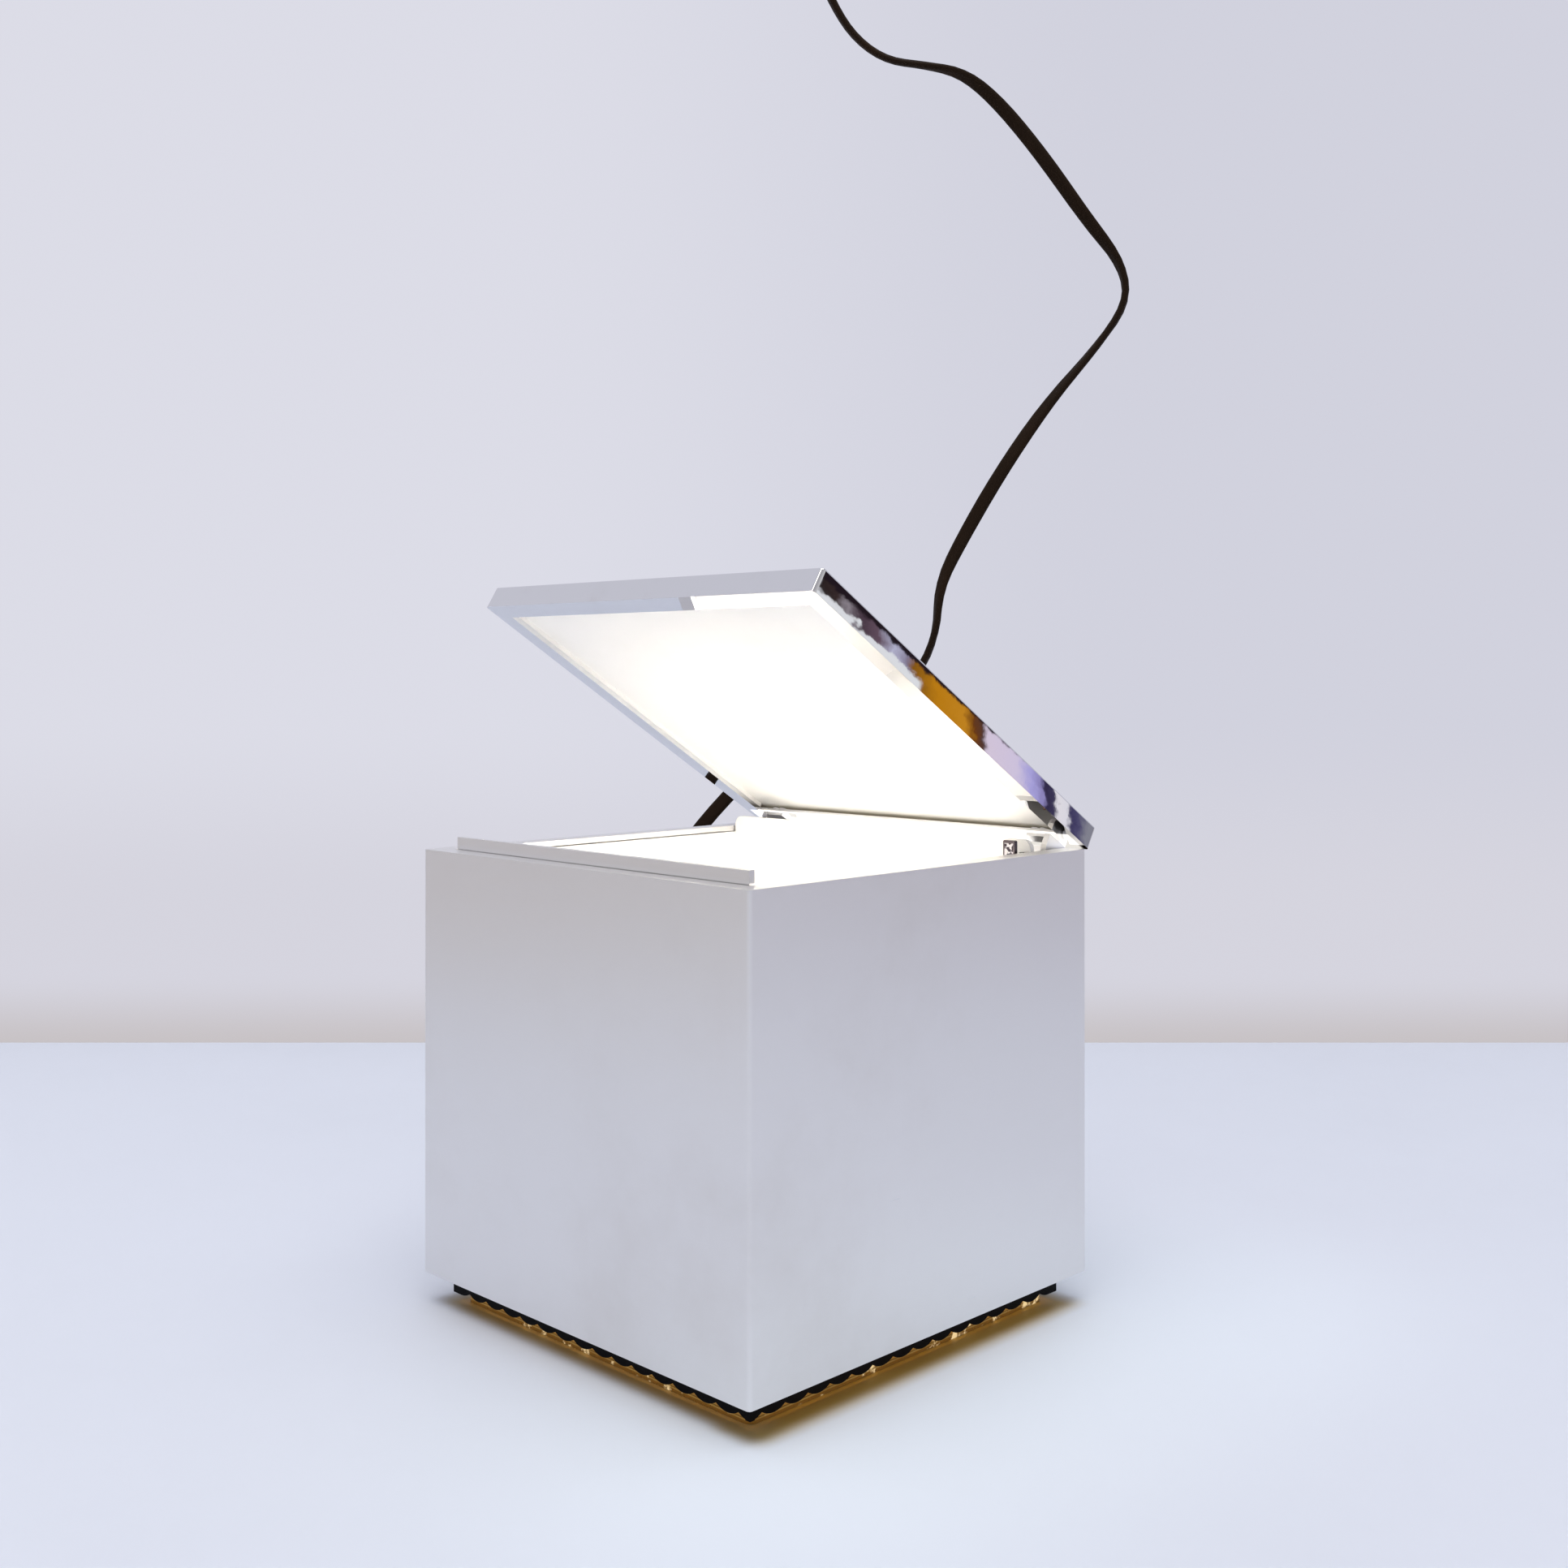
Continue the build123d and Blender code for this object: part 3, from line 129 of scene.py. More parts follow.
# %% Route of the lead
RELIEF_END = (0.0, 74.0, 20.0)
COIL_LEAD = 4.0
COIL_APPROACH = 6.5
RISE_START = 29.9
coil_in = coil_place(0) - coil_heading(0) * COIL_LEAD
coil_out = coil_place(COIL_TURNS) + coil_heading(COIL_TURNS) * COIL_LEAD
lead_points = [
    Vector(RELIEF_END),
    Vector((0, 84.0, 20.0)),
    Vector((-1.0, 93.0, 14.5)),
    Vector((-6.3, 100.4, 6.6)),
    coil_in - coil_heading(0) * COIL_APPROACH,
]
rise_route = [
    (20.0, 16.6, 0), (8.0, 14.5, 10), (-6.0, 7.5, 25), (-20.0, 4.6, 40), (-33.0, 10.0, 55), (-42.0, 23.0, 70),
    (-44.5, 40.0, 80), (-41.5, 58.0, 90), (-34.5, 75.0, 90), (-24.4, 90.0, 90), (-10.0, 105.6, 90),
    (4.4, 117.0, 60), (24.0, 125.5, 30), (37.5, 132.5, 0), (43.4, 145.0, 10), (44.0, 159.0, 50),
    (51.0, 173.0, 90), (62.0, 192.0, 90), (75.0, 211.0, 60), (89.0, 227.0, 20), (97.6, 239.5, 0),
    (95.5, 250.5, 30), (86.0, 262.5, 70), (73.1, 281.1, 90), (61.0, 296.0, 80), (51.0, 304.5, 40),
    (40.0, 306.8, 0), (29.0, 308.2, 0), (19.8, 315.0, 10), (13.4, 325.5, 20), (9.5, 336.0, 45),
    (9.5, 346.0, 45),
]
run = -coil_heading(COIL_TURNS)
rise_points = [
    Vector((coil_out.x + (along - RISE_START) * run.x, coil_out.y + (along - RISE_START) * run.y, height))
    for along, height, tilt in rise_route
]
route = lead_points + [coil_in] + coil_points + [coil_out] + rise_points
tilts = [0.0] * (len(route) - len(rise_route)) + [radians(tilt) for along, height, tilt in rise_route]
print("control points of the lead:", len(route))

# %% [markdown]
# Node trees are built in the script, a node at a time. A few small helpers keep that short: they add a named
# input, a node or a sum, and they take either a link or a plain number as a value.

# %% Helpers for node trees
def input_socket(tree, name, kind, value=None):
    """Add a named input to a node tree and give it a value."""
    socket = tree.interface.new_socket(name=name, in_out="INPUT", socket_type=kind)
    if value is not None:
        socket.default_value = value


def wire(tree, value, socket):
    """Link an output to a socket, or set the socket to a plain value."""
    if isinstance(value, bpy.types.NodeSocket):
        tree.links.new(value, socket)
    else:
        socket.default_value = value


def add_node(tree, kind, settings=None, **inputs):
    """Add a node, with settings as attributes and inputs by name."""
    made = tree.nodes.new(kind)
    for key, value in (settings or {}).items():
        setattr(made, key, value)
    for key, value in inputs.items():
        wire(tree, value, made.inputs[key.replace("_", " ")])
    return made


def link_math(tree, operation, first, second=None):
    """Math node whose inputs are links or numbers; returns its output."""
    made = add_node(tree, "ShaderNodeMath", {"operation": operation})
    wire(tree, first, made.inputs[0])
    if second is not None:
        wire(tree, second, made.inputs[1])
    return made.outputs[0]


print("helpers:", wire.__name__, add_node.__name__, link_math.__name__)

# %% [markdown]
# A Geometry Nodes tree makes a mesh from a few named sizes. Each tree starts with its inputs, and ends with
# real geometry and a material, because instances would be lost when the model is exported.

# %% Start and end of a tree
def start_tree(name, sizes):
    """Geometry Nodes tree with named sizes; returns it with its input and output nodes."""
    tree = bpy.data.node_groups.new(name, "GeometryNodeTree")
    input_socket(tree, "Geometry", "NodeSocketGeometry")
    for label in sizes:
        input_socket(tree, label, "NodeSocketFloat", 0.0)
    tree.interface.new_socket(name="Geometry", in_out="OUTPUT", socket_type="NodeSocketGeometry")
    return tree, tree.nodes.new("NodeGroupInput"), tree.nodes.new("NodeGroupOutput")


def end_tree(tree, geometry, target, material, smooth=False):
    """Close a tree with real geometry, smooth shading if it is wanted, and its material."""
    steps = [add_node(tree, "GeometryNodeRealizeInstances")]
    if smooth:
        steps.append(add_node(tree, "GeometryNodeSetShadeSmooth"))
    steps.append(add_node(tree, "GeometryNodeSetMaterial", Material=material))
    for step in steps:
        wire(tree, geometry, step.inputs[0])
        geometry = step.outputs[0]
    wire(tree, geometry, target.inputs[0])


print("helpers:", start_tree.__name__, end_tree.__name__)

# %% [markdown]
# The flex has a flat section with a shallow groove between its two cores. A Geometry Nodes tree draws that
# section from a circle and sweeps it along a curve. Its half width, half thickness and groove are named
# inputs.

# %% Section of the flex
SECTION_POINTS = 16
GROOVE_SHARPNESS = -14.0
FLEX_SIZES = {"Half width": 2.0 * MM, "Half thickness": 1.125 * MM, "Groove": 0.22}


def flat_flex_tree(material):
    """Node tree that sweeps a grooved flat section along a curve."""
    tree, source, target = start_tree("flat_flex", FLEX_SIZES)
    ring = add_node(tree, "GeometryNodeCurvePrimitiveCircle", Resolution=SECTION_POINTS, Radius=1.0)
    place = add_node(tree, "GeometryNodeInputPosition")
    split = add_node(tree, "ShaderNodeSeparateXYZ", Vector=place.outputs[0])
    across, up = split.outputs[0], split.outputs[1]
    squared = link_math(tree, "POWER", across, 2.0)
    notch = link_math(tree, "EXPONENT", link_math(tree, "MULTIPLY", squared, GROOVE_SHARPNESS))
    waist = link_math(tree, "SUBTRACT", 1.0, link_math(tree, "MULTIPLY", notch, source.outputs["Groove"]))
    wide = link_math(tree, "MULTIPLY", across, source.outputs["Half width"])
    tall = link_math(tree, "MULTIPLY", up, source.outputs["Half thickness"])
    join = add_node(tree, "ShaderNodeCombineXYZ", X=wide, Y=link_math(tree, "MULTIPLY", tall, waist))
    section = add_node(tree, "GeometryNodeSetPosition", Geometry=ring.outputs["Curve"])
    wire(tree, join.outputs[0], section.inputs["Position"])
    sweep = add_node(tree, "GeometryNodeCurveToMesh", Curve=source.outputs["Geometry"], Fill_Caps=True)
    wire(tree, section.outputs[0], sweep.inputs["Profile Curve"])
    end_tree(tree, sweep.outputs[0], target, material, smooth=True)
    return tree


flex_finish = bpy.data.materials.new("dark_flex")
flex_tree = flat_flex_tree(flex_finish)
print("nodes that sweep the flex:", len(flex_tree.nodes))

# %% [markdown]
# A tree works as a modifier on a plain object. Its sizes are set by the identifiers of its sockets. The
# result is then turned into a mesh of its own, without a modifier, so that what follows sees real faces.

# %% From a tree to a plain mesh
def run_tree(source, tree, sizes):
    """Put a tree on an object and set its named sizes by the identifiers of their sockets."""
    modifier = source.modifiers.new(tree.name, "NODES")
    modifier.node_group = tree
    for item in tree.interface.items_tree:
        if item.item_type == "SOCKET" and item.in_out == "INPUT" and item.name in sizes:
            modifier[item.identifier] = sizes[item.name]


def evaluated_mesh(source):
    """Plain mesh of an object as it is with its modifiers."""
    bpy.context.view_layer.update()
    return bpy.data.meshes.new_from_object(source.evaluated_get(bpy.context.evaluated_depsgraph_get()))


def plain_mesh(source, name):
    """Turn an object into a plain mesh object of its own and remove the source."""
    mesh = evaluated_mesh(source)
    mesh.name = name
    bpy.data.objects.remove(source)
    return add_object(name, mesh)


print("helpers:", run_tree.__name__, evaluated_mesh.__name__, plain_mesh.__name__)

# %% [markdown]
# One NURBS spline carries the whole lead. Its control points are the route's own points, so the line is
# smooth and has no sharp corners. The tree then gives the line its section, and the lead takes the place of
# the three plain CAD pieces, which are hidden.

# %% Sweep of the lead
lead_curve = bpy.data.curves.new("lead_line", "CURVE")
lead_curve.dimensions = "3D"
lead_curve.resolution_u = 4
lead_spline = lead_curve.splines.new("NURBS")
lead_spline.points.add(len(route) - 1)
for point, place, tilt in zip(lead_spline.points, route, tilts):
    point.co = (*(place * MM), 1.0)
    point.tilt = tilt
lead_spline.order_u = 3
lead_spline.use_endpoint_u = True
lead_line = add_object("lead_line", lead_curve)
lead_path = [vertex.co.copy() for vertex in evaluated_mesh(lead_line).vertices]
lead_length = sum((after - before).length for before, after in zip(lead_path, lead_path[1:]))
run_tree(lead_line, flex_tree, FLEX_SIZES)
lead = plain_mesh(lead_line, "flat_lead")
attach(lead, "lamp")
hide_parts("cord_lead", "cord_coil", "mains_cord")
print("length of the lead:", round(lead_length, 3), "triangles:", 2 * len(lead.data.polygons))

# %% [markdown]
# Several finishes share the same small faults: a fine grain, and the soft cloudy marks that hands leave. Each
# effect is a shader node group with named inputs, so a finish only chooses how strong it is.

# %% Fine grain
FINE = (1500, 1500, 1500)


def object_place(tree):
    """Place on the piece, as one vector."""
    return add_node(tree, "ShaderNodeTexCoord").outputs["Object"]


def effect_group(name, inputs, output):
    """Shader group with named inputs and one value as its output; returns the tree and its ends."""
    tree = bpy.data.node_groups.new(name, "ShaderNodeTree")
    for label, kind, value in inputs:
        input_socket(tree, label, kind, value)
    tree.interface.new_socket(name=output, in_out="OUTPUT", socket_type="NodeSocketFloat")
    return tree, tree.nodes.new("NodeGroupInput"), tree.nodes.new("NodeGroupOutput")


def grain_group():
    """Fine lines or specks: a noise stretched by a scale on each axis."""
    sizes = [("Scale", "NodeSocketVector", FINE), ("Detail", "NodeSocketFloat", 3.0)]
    tree, source, target = effect_group("fine_grain", sizes, "Grain")
    stretched = add_node(tree, "ShaderNodeMapping", Vector=object_place(tree), Scale=source.outputs["Scale"])
    noise = add_node(tree, "ShaderNodeTexNoise", Vector=stretched.outputs[0], Scale=1.0)
    wire(tree, source.outputs["Detail"], noise.inputs["Detail"])
    wire(tree, noise.outputs[0], target.inputs[0])
    return tree


GRAIN = grain_group()
print("shared effect:", GRAIN.name)

# %% [markdown]
# The marks are a noise with a fine mottle in it, and a soft step lets only its high parts through. A picture
# of real smudges would show its edges on such small pieces, and noise has none.

# %% Handling marks
SOFT = (30.0, 0.45, 0.7)


def smooth_step(tree, value, start, end):
    """Mask that eases from 0 at the start to 1 at the end."""
    eased = add_node(tree, "ShaderNodeMapRange", {"interpolation_type": "SMOOTHSTEP"}, Value=value)
    wire(tree, start, eased.inputs["From Min"])
    wire(tree, end, eased.inputs["From Max"])
    return eased.outputs[0]


def cloud_group():
    """Soft cloudy marks with a fine mottle in them, from 0 where it is clean to 1."""
    sizes = [(label, "NodeSocketFloat", value) for label, value in zip(("Size", "Low", "High"), SOFT)]
    tree, source, target = effect_group("handling_marks", sizes, "Mark")
    noise = add_node(tree, "ShaderNodeTexNoise", Vector=object_place(tree), Detail=6.0, Roughness=0.62)
    wire(tree, source.outputs["Size"], noise.inputs["Scale"])
    mark = smooth_step(tree, noise.outputs[0], source.outputs["Low"], source.outputs["High"])
    wire(tree, mark, target.inputs[0])
    return tree


CLOUD = cloud_group()
print("shared effect:", CLOUD.name)

# %% [markdown]
# A finish is put together from a few small steps: it places a shared effect, maps a mask onto a range and
# mixes two colours by a mask.

# %% Steps of a finish
def place_group(tree, group, **inputs):
    """Place a shared effect in a material and return its first output."""
    made = add_node(tree, "ShaderNodeGroup", {"node_tree": group})
    for key, value in inputs.items():
        wire(tree, value, made.inputs[key])
    return made.outputs[0]


def spread(tree, value, low, high):
    """Map a 0 to 1 mask onto a range."""
    return add_node(tree, "ShaderNodeMapRange", Value=value, To_Min=low, To_Max=high).outputs[0]


def blend_colour(tree, mask, first, second):
    """Mix two colours by a mask; each is a link or a plain colour."""
    mix = add_node(tree, "ShaderNodeMix", {"data_type": "RGBA"})
    wire(tree, mask, mix.inputs[0])
    wire(tree, (*first, 1) if isinstance(first, tuple) else first, mix.inputs[6])
    wire(tree, (*second, 1) if isinstance(second, tuple) else second, mix.inputs[7])
    return mix.outputs[2]


def shader_of(material):
    """Main shader node of a material."""
    return material.node_tree.nodes["Principled BSDF"]


print("helpers:", place_group.__name__, spread.__name__, blend_colour.__name__, shader_of.__name__)

# %% [markdown]
# Every finish is then made by one function. The colour drifts towards a second one where the marks are, the
# grain and the marks vary the roughness, and the grain can give a slight relief. Real metal and paint are
# never quite even, and plain colours would look like plastic.

# %% One way to make a finish
GRAIN_DEPTH = 0.2 * MM
METAL = 1.0


def finish(name, base, second, roughness, metallic=0.0, grain=FINE, marks=SOFT, smear=0.06, bump=0.0):
    """One finish: a colour that drifts towards a second one, grain in the roughness and a slight relief."""
    material = bpy.data.materials.get(name) or bpy.data.materials.new(name)
    material.use_nodes = True
    tree = material.node_tree
    shader = shader_of(material)
    shader.inputs["Metallic"].default_value = metallic
    fine = place_group(tree, GRAIN, Scale=grain)
    cloud = place_group(tree, CLOUD, Size=marks[0], Low=marks[1], High=marks[2])
    wire(tree, blend_colour(tree, cloud, base, second), shader.inputs["Base Color"])
    rough = link_math(tree, "ADD", spread(tree, fine, *roughness), spread(tree, cloud, 0.0, smear))
    wire(tree, rough, shader.inputs["Roughness"])
    if bump:
        relief = add_node(tree, "ShaderNodeBump", Height=fine, Strength=bump, Distance=GRAIN_DEPTH)
        wire(tree, relief.outputs[0], shader.inputs["Normal"])
    return material


print("depth of the grain:", GRAIN_DEPTH / MM, "mm")

# %% [markdown]
# The sleeve is satin aluminium and the lid is bright plate, so they differ mostly in roughness. The grain of
# the aluminium runs along its sides. The inside of the well and of the lid is white paint with a fine grain.
# Each name on the left is a material slot of the CAD model.

# %% Finishes of the rigid pieces
PLATE = ((0.72, 0.72, 0.74), (0.66, 0.65, 0.66))
PAINT = ((0.90, 0.89, 0.87), (0.88, 0.87, 0.84))
GOLD = ((0.86, 0.58, 0.20), (0.70, 0.43, 0.12))
FINISHES = {
    "satin_aluminium": finish(
        "satin_aluminium", (0.80, 0.79, 0.79), (0.73, 0.71, 0.70), (0.24, 0.38), METAL,
        grain=(60, 60, 2600), marks=(14.0, 0.45, 0.8), bump=0.03,
    ),
    "bright_plate": finish(
        "bright_plate", *PLATE, (0.025, 0.05), METAL,
        grain=(500, 500, 500), marks=(60.0, 0.5, 0.8), smear=0.02, bump=0.01,
    ),
    "bright_steel": finish(
        "bright_steel", (0.66, 0.66, 0.68), (0.55, 0.54, 0.53), (0.25, 0.38), METAL,
        grain=(2400, 300, 2400), marks=(150.0, 0.5, 0.8), bump=0.03,
    ),
    "white_paint": finish(
        "white_paint", *PAINT, (0.40, 0.60),
        grain=(2600, 2600, 2600), marks=(40.0, 0.5, 0.8), bump=0.08,
    ),
    "gold_shield": finish(
        "gold_shield", *GOLD, (0.22, 0.36), METAL,
        grain=(2000, 200, 2000), marks=(80.0, 0.45, 0.75), bump=0.03,
    ),
    "black_plastic": finish(
        "black_moulding", (0.002, 0.002, 0.003), (0.005, 0.004, 0.004), (0.42, 0.58),
        grain=(2500, 2500, 2500), bump=0.06,
    ),
    "black_rubber": finish(
        "black_rubber", (0.016, 0.015, 0.014), (0.028, 0.026, 0.024), (0.55, 0.75),
        grain=(3000, 3000, 3000), bump=0.08,
    ),
    "brown_plastic": finish(
        "brown_moulding", (0.075, 0.032, 0.014), (0.13, 0.055, 0.022), (0.16, 0.28),
        grain=(900, 900, 900), marks=(90.0, 0.4, 0.7), bump=0.02,
    ),
    "brass_contact": finish(
        "brass_contact", (0.80, 0.58, 0.27), (0.62, 0.42, 0.17), (0.20, 0.34), METAL,
        grain=(2200, 2200, 400), marks=(120.0, 0.45, 0.75), bump=0.03,
    ),
    "cord_plastic": finish(
        "dark_flex", (0.014, 0.007, 0.003), (0.022, 0.011, 0.005), (0.48, 0.62), bump=0.05,
    ),
    "lit_glass": finish("lit_glass", (0.95, 0.94, 0.91), (0.93, 0.91, 0.87), (0.25, 0.35), bump=0.02),
}
print("finishes:", len(FINISHES))

# %% [markdown]
# The black base and the flex hardly shine, so their specular level is low. Then every CAD piece gets the
# finish of its slot.

# %% Finishes on their pieces
for slot, level in (("black_plastic", 0.06), ("cord_plastic", 0.08)):
    shader_of(FINISHES[slot]).inputs["Specular IOR Level"].default_value = level
slots = {part["node"]: part["material_slot"] for part in frame["record"]["subparts"]}
for name, node in nodes.items():
    node.data.materials.clear()
    node.data.materials.append(FINISHES[slots[name]])
print("pieces with a finish:", len(nodes))

# %% [markdown]
# The lamp is on. The bulb's glass glows with a warm white, and it lights the well and the lid by itself. The
# white cover over the hinge compartment gets a weak glow too, because it is so bright on the real lamp that
# it shows no shade.

# %% Lit bulb and lit cover
LAMP_WHITE = (1.0, 0.965, 0.91, 1.0)


def set_glow(material, colour, strength):
    """Let a material give off light; the colour is a link or a plain colour."""
    shader = shader_of(material)
    wire(material.node_tree, colour, shader.inputs["Emission Color"])
    shader.inputs["Emission Strength"].default_value = strength


lit_cover = finish("lit_cover", *PAINT, (0.40, 0.60), bump=0.05)
set_glow(FINISHES["lit_glass"], LAMP_WHITE, strength=5.4)
set_glow(lit_cover, LAMP_WHITE, strength=0.8)
nodes["hinge_cover"].data.materials[0] = lit_cover
print("lit pieces: bulb_glass, hinge_cover")

# %% [markdown]
# Four small places need a finish of their own: the switch's button, the lid's plate, the paint in the lid and
# the gold band. Each one starts from a plain finish and adds a mask made from places on the piece, which
# moves with the piece.

# %% Places on a piece
def distance_along(tree, place, origin, direction):
    """Distance of a place from an origin along a direction, in metres."""
    moved = add_node(tree, "ShaderNodeVectorMath", {"operation": "SUBTRACT"})
    wire(tree, place, moved.inputs[0])
    wire(tree, origin, moved.inputs[1])
    measured = add_node(tree, "ShaderNodeVectorMath", {"operation": "DOT_PRODUCT"})
    wire(tree, moved.outputs[0], measured.inputs[0])
    wire(tree, direction, measured.inputs[1])
    return measured.outputs["Value"]


def shift_colour(tree, mask, colour):
    """Blend a further colour into a material's base colour."""
    base = tree.nodes["Principled BSDF"].inputs["Base Color"]
    wire(tree, blend_colour(tree, mask, base.links[0].from_socket, colour), base)


print("helpers:", distance_along.__name__, shift_colour.__name__)

# %% [markdown]
# The switch's button is a small square of worn plate with a darker frame. It is too small to model the frame,
# so a mask draws it. The mask is measured from the middle of the button's own front face, and so it moves
# with the button.

# %% Button of the switch
FACE_DEPTH = 0.1 * MM
FRAME_FROM = 0.70
FRAME_TO = 0.80
button_plate = finish(
    "button_plate", (0.62, 0.60, 0.62), (0.05, 0.04, 0.05), (0.08, 0.14), METAL, marks=(900.0, 0.47, 0.53),
)
button_tree = button_plate.node_tree
button_points = [vertex.co for vertex in nodes["switch_plunger"].data.vertices]
button_front = min(point.y for point in button_points)
face_points = [point for point in button_points if point.y < button_front + FACE_DEPTH]
button_low = Vector([min(point[axis] for point in face_points) for axis in range(3)])
button_high = Vector([max(point[axis] for point in face_points) for axis in range(3)])
button_middle = (button_low + button_high) / 2
frame_mask = 0.0
for axis, direction in ((0, (1, 0, 0)), (2, (0, 0, 1))):
    off_middle = distance_along(button_tree, object_place(button_tree), button_middle, direction)
    half = (button_high[axis] - button_low[axis]) / 2
    off_middle = link_math(button_tree, "ABSOLUTE", off_middle)
    border = smooth_step(button_tree, off_middle, half * FRAME_FROM, half * FRAME_TO)
    frame_mask = link_math(button_tree, "MAXIMUM", border, frame_mask)
shift_colour(button_tree, frame_mask, (0.11, 0.09, 0.10))
nodes["switch_plunger"].data.materials[0] = button_plate
print("button face:", [round(value / MM, 1) for value in button_high - button_low])

# %% [markdown]
# The lid is the brightest plate on the lamp, almost a mirror. Its rear flange faces the lit well from close
# by and glows with its light. The glow is a mask made from places on the lid: near the hinge, low on the
# flange and away from the two ends. The lid stands open at rest, so its own forward and upward directions
# lean.

# %% Plate of the lid
LID_PIVOT = (0.0, 48.4 * MM, 94.8 * MM)
LID_OPEN = radians(31.6)
LID_FORWARD = (0.0, -cos(LID_OPEN), sin(LID_OPEN))
LID_UP = (0.0, sin(LID_OPEN), cos(LID_OPEN))


def bounded(tree, limits, unit=1.0):
    """Mask that is 1 where each value is past its end, and 0 where one of them isn't past its start."""
    mask = 1.0
    for value, start, end in limits:
        mask = link_math(tree, "MULTIPLY", mask, smooth_step(tree, value, start * unit, end * unit))
    return mask


lid_plate = finish(
    "lid_plate", *PLATE, (0.008, 0.020), METAL,
    grain=(500, 500, 500), marks=(60.0, 0.5, 0.8), smear=0.01, bump=0.006,
)
lid_tree = lid_plate.node_tree
lid_place = object_place(lid_tree)
from_hinge = distance_along(lid_tree, lid_place, LID_PIVOT, LID_FORWARD)
over_hinge = distance_along(lid_tree, lid_place, LID_PIVOT, LID_UP)
to_ends = link_math(lid_tree, "ABSOLUTE", distance_along(lid_tree, lid_place, LID_PIVOT, (1, 0, 0)))
lit_flange = bounded(lid_tree, ((from_hinge, 5.3, 4.9), (over_hinge, 3.1, 2.9), (to_ends, 49.0, 48.0)), MM)
set_glow(lid_plate, blend_colour(lid_tree, lit_flange, (0, 0, 0), (0.95, 0.92, 0.86)), strength=0.85)
nodes["lid_shell"].data.materials[0] = lid_plate
print("lid open by:", round(LID_OPEN, 3), "radians")

# %% [markdown]
# The white plate inside the lid has painted shade along its rear edge, where the rear panel keeps the bulb's
# light off it and where the plate meets the flange. Two soft bands of colour paint it, a wide pale one and a
# narrow dark one. Both are measured from the plate's own rear edge.

# %% Painted shade in the lid
REAR_SHADE_BANDS = ((6.0, 0.5, (0.70, 0.57, 0.26)), (1.2, 0.4, (0.42, 0.31, 0.10)))
lid_paint = finish(
    "lid_paint", *PAINT, (0.40, 0.60), grain=(2600, 2600, 2600), marks=(40.0, 0.5, 0.8), bump=0.08,
)
paint_tree = lid_paint.node_tree
plate_points = [vertex.co - Vector(LID_PIVOT) for vertex in nodes["lid_reflector"].data.vertices]
plate_rear = min(point.dot(Vector(LID_FORWARD)) for point in plate_points)
from_rear = distance_along(paint_tree, object_place(paint_tree), LID_PIVOT, LID_FORWARD)
# Two bands of painted shade along the plate's rear edge: the rear panel's soft shade and the dark gap at the
# flange.
for start, end, colour in REAR_SHADE_BANDS:
    rear_shade = smooth_step(paint_tree, from_rear, plate_rear + start * MM, plate_rear + end * MM)
    shift_colour(paint_tree, rear_shade, colour)
nodes["lid_reflector"].data.materials[0] = lid_paint
print("rear edge of the lid's plate:", round(plate_rear / MM, 2), "mm in front of the hinge")

# %% [markdown]
# The gold band behind the teeth catches the lamp unevenly, and that light is painted in: a faint amber glow
# all over it, and painted glints on the spots where the cloudy marks, serving again as a mask, are high. The
# band's hem lies lower, in shade, so its gold is painted darker.

# %% Glinting gold
def glinting_gold(name, base, second):
    """Gold sheet with a faint painted glow, and painted glints on small spots where it would catch the lamp.
    """
    material = finish(name, base, second, (0.22, 0.36), METAL, marks=(80.0, 0.45, 0.75), bump=0.03)
    tree = material.node_tree
    glints = place_group(tree, CLOUD, Size=330.0, Low=0.57, High=0.66)
    set_glow(material, blend_colour(tree, glints, (0.10, 0.05, 0.01), (1.0, 0.76, 0.40)), strength=0.8)
    return material


lit_gold = glinting_gold("lit_gold", *GOLD)
# The hem's darker gold is painted shade, because the hem lies low in shade.
shaded_hem_gold = glinting_gold("shaded_hem_gold", (0.30, 0.18, 0.05), (0.16, 0.09, 0.03))
nodes["vent_band"].data.materials[0] = lit_gold
print("glinting finishes:", lit_gold.name, shaded_hem_gold.name)

# %% [markdown]
# The gold band has a thin hem that closes the last millimetre above the table. It follows the rounded square
# of the rim, so a Geometry Nodes tree draws that square, rounds its corners and sweeps a thin strip along it.

# %% Hem of the gold band
HEM_SHEET = 0.36
HEM_LOW = 0.06
HEM_HIGH = 1.18
RIM_HALF = 43.1
RIM_GAP = 0.02
CORNER_STEPS = 6
HEM_SIZES = {
    "Side": (2 * RIM_HALF + HEM_SHEET + 2 * RIM_GAP) * MM,
    "Corner": 1.7 * MM,
    "Sheet": HEM_SHEET * MM,
    "Height": (HEM_HIGH - HEM_LOW) * MM,
    "Level": (HEM_HIGH + HEM_LOW) / 2 * MM,
}


def hem_tree(material):
    """Node tree for a thin upright strip round a rounded square."""
    tree, source, target = start_tree("band_hem", HEM_SIZES)
    sizes = source.outputs
    box = "GeometryNodeCurvePrimitiveQuadrilateral"
    square = add_node(tree, box, Width=sizes["Side"], Height=sizes["Side"])
    rounded = add_node(tree, "GeometryNodeFilletCurve", {"mode": "POLY"}, Count=CORNER_STEPS)
    wire(tree, square.outputs[0], rounded.inputs["Curve"])
    wire(tree, sizes["Corner"], rounded.inputs["Radius"])
    lift = add_node(tree, "ShaderNodeCombineXYZ", Z=sizes["Level"])
    raised = add_node(tree, "GeometryNodeSetPosition", Geometry=rounded.outputs[0], Offset=lift.outputs[0])
    strip = add_node(tree, box, Width=sizes["Sheet"], Height=sizes["Height"])
    sweep = add_node(tree, "GeometryNodeCurveToMesh", Curve=raised.outputs[0])
    wire(tree, strip.outputs[0], sweep.inputs["Profile Curve"])
    end_tree(tree, sweep.outputs[0], target, material)
    return tree


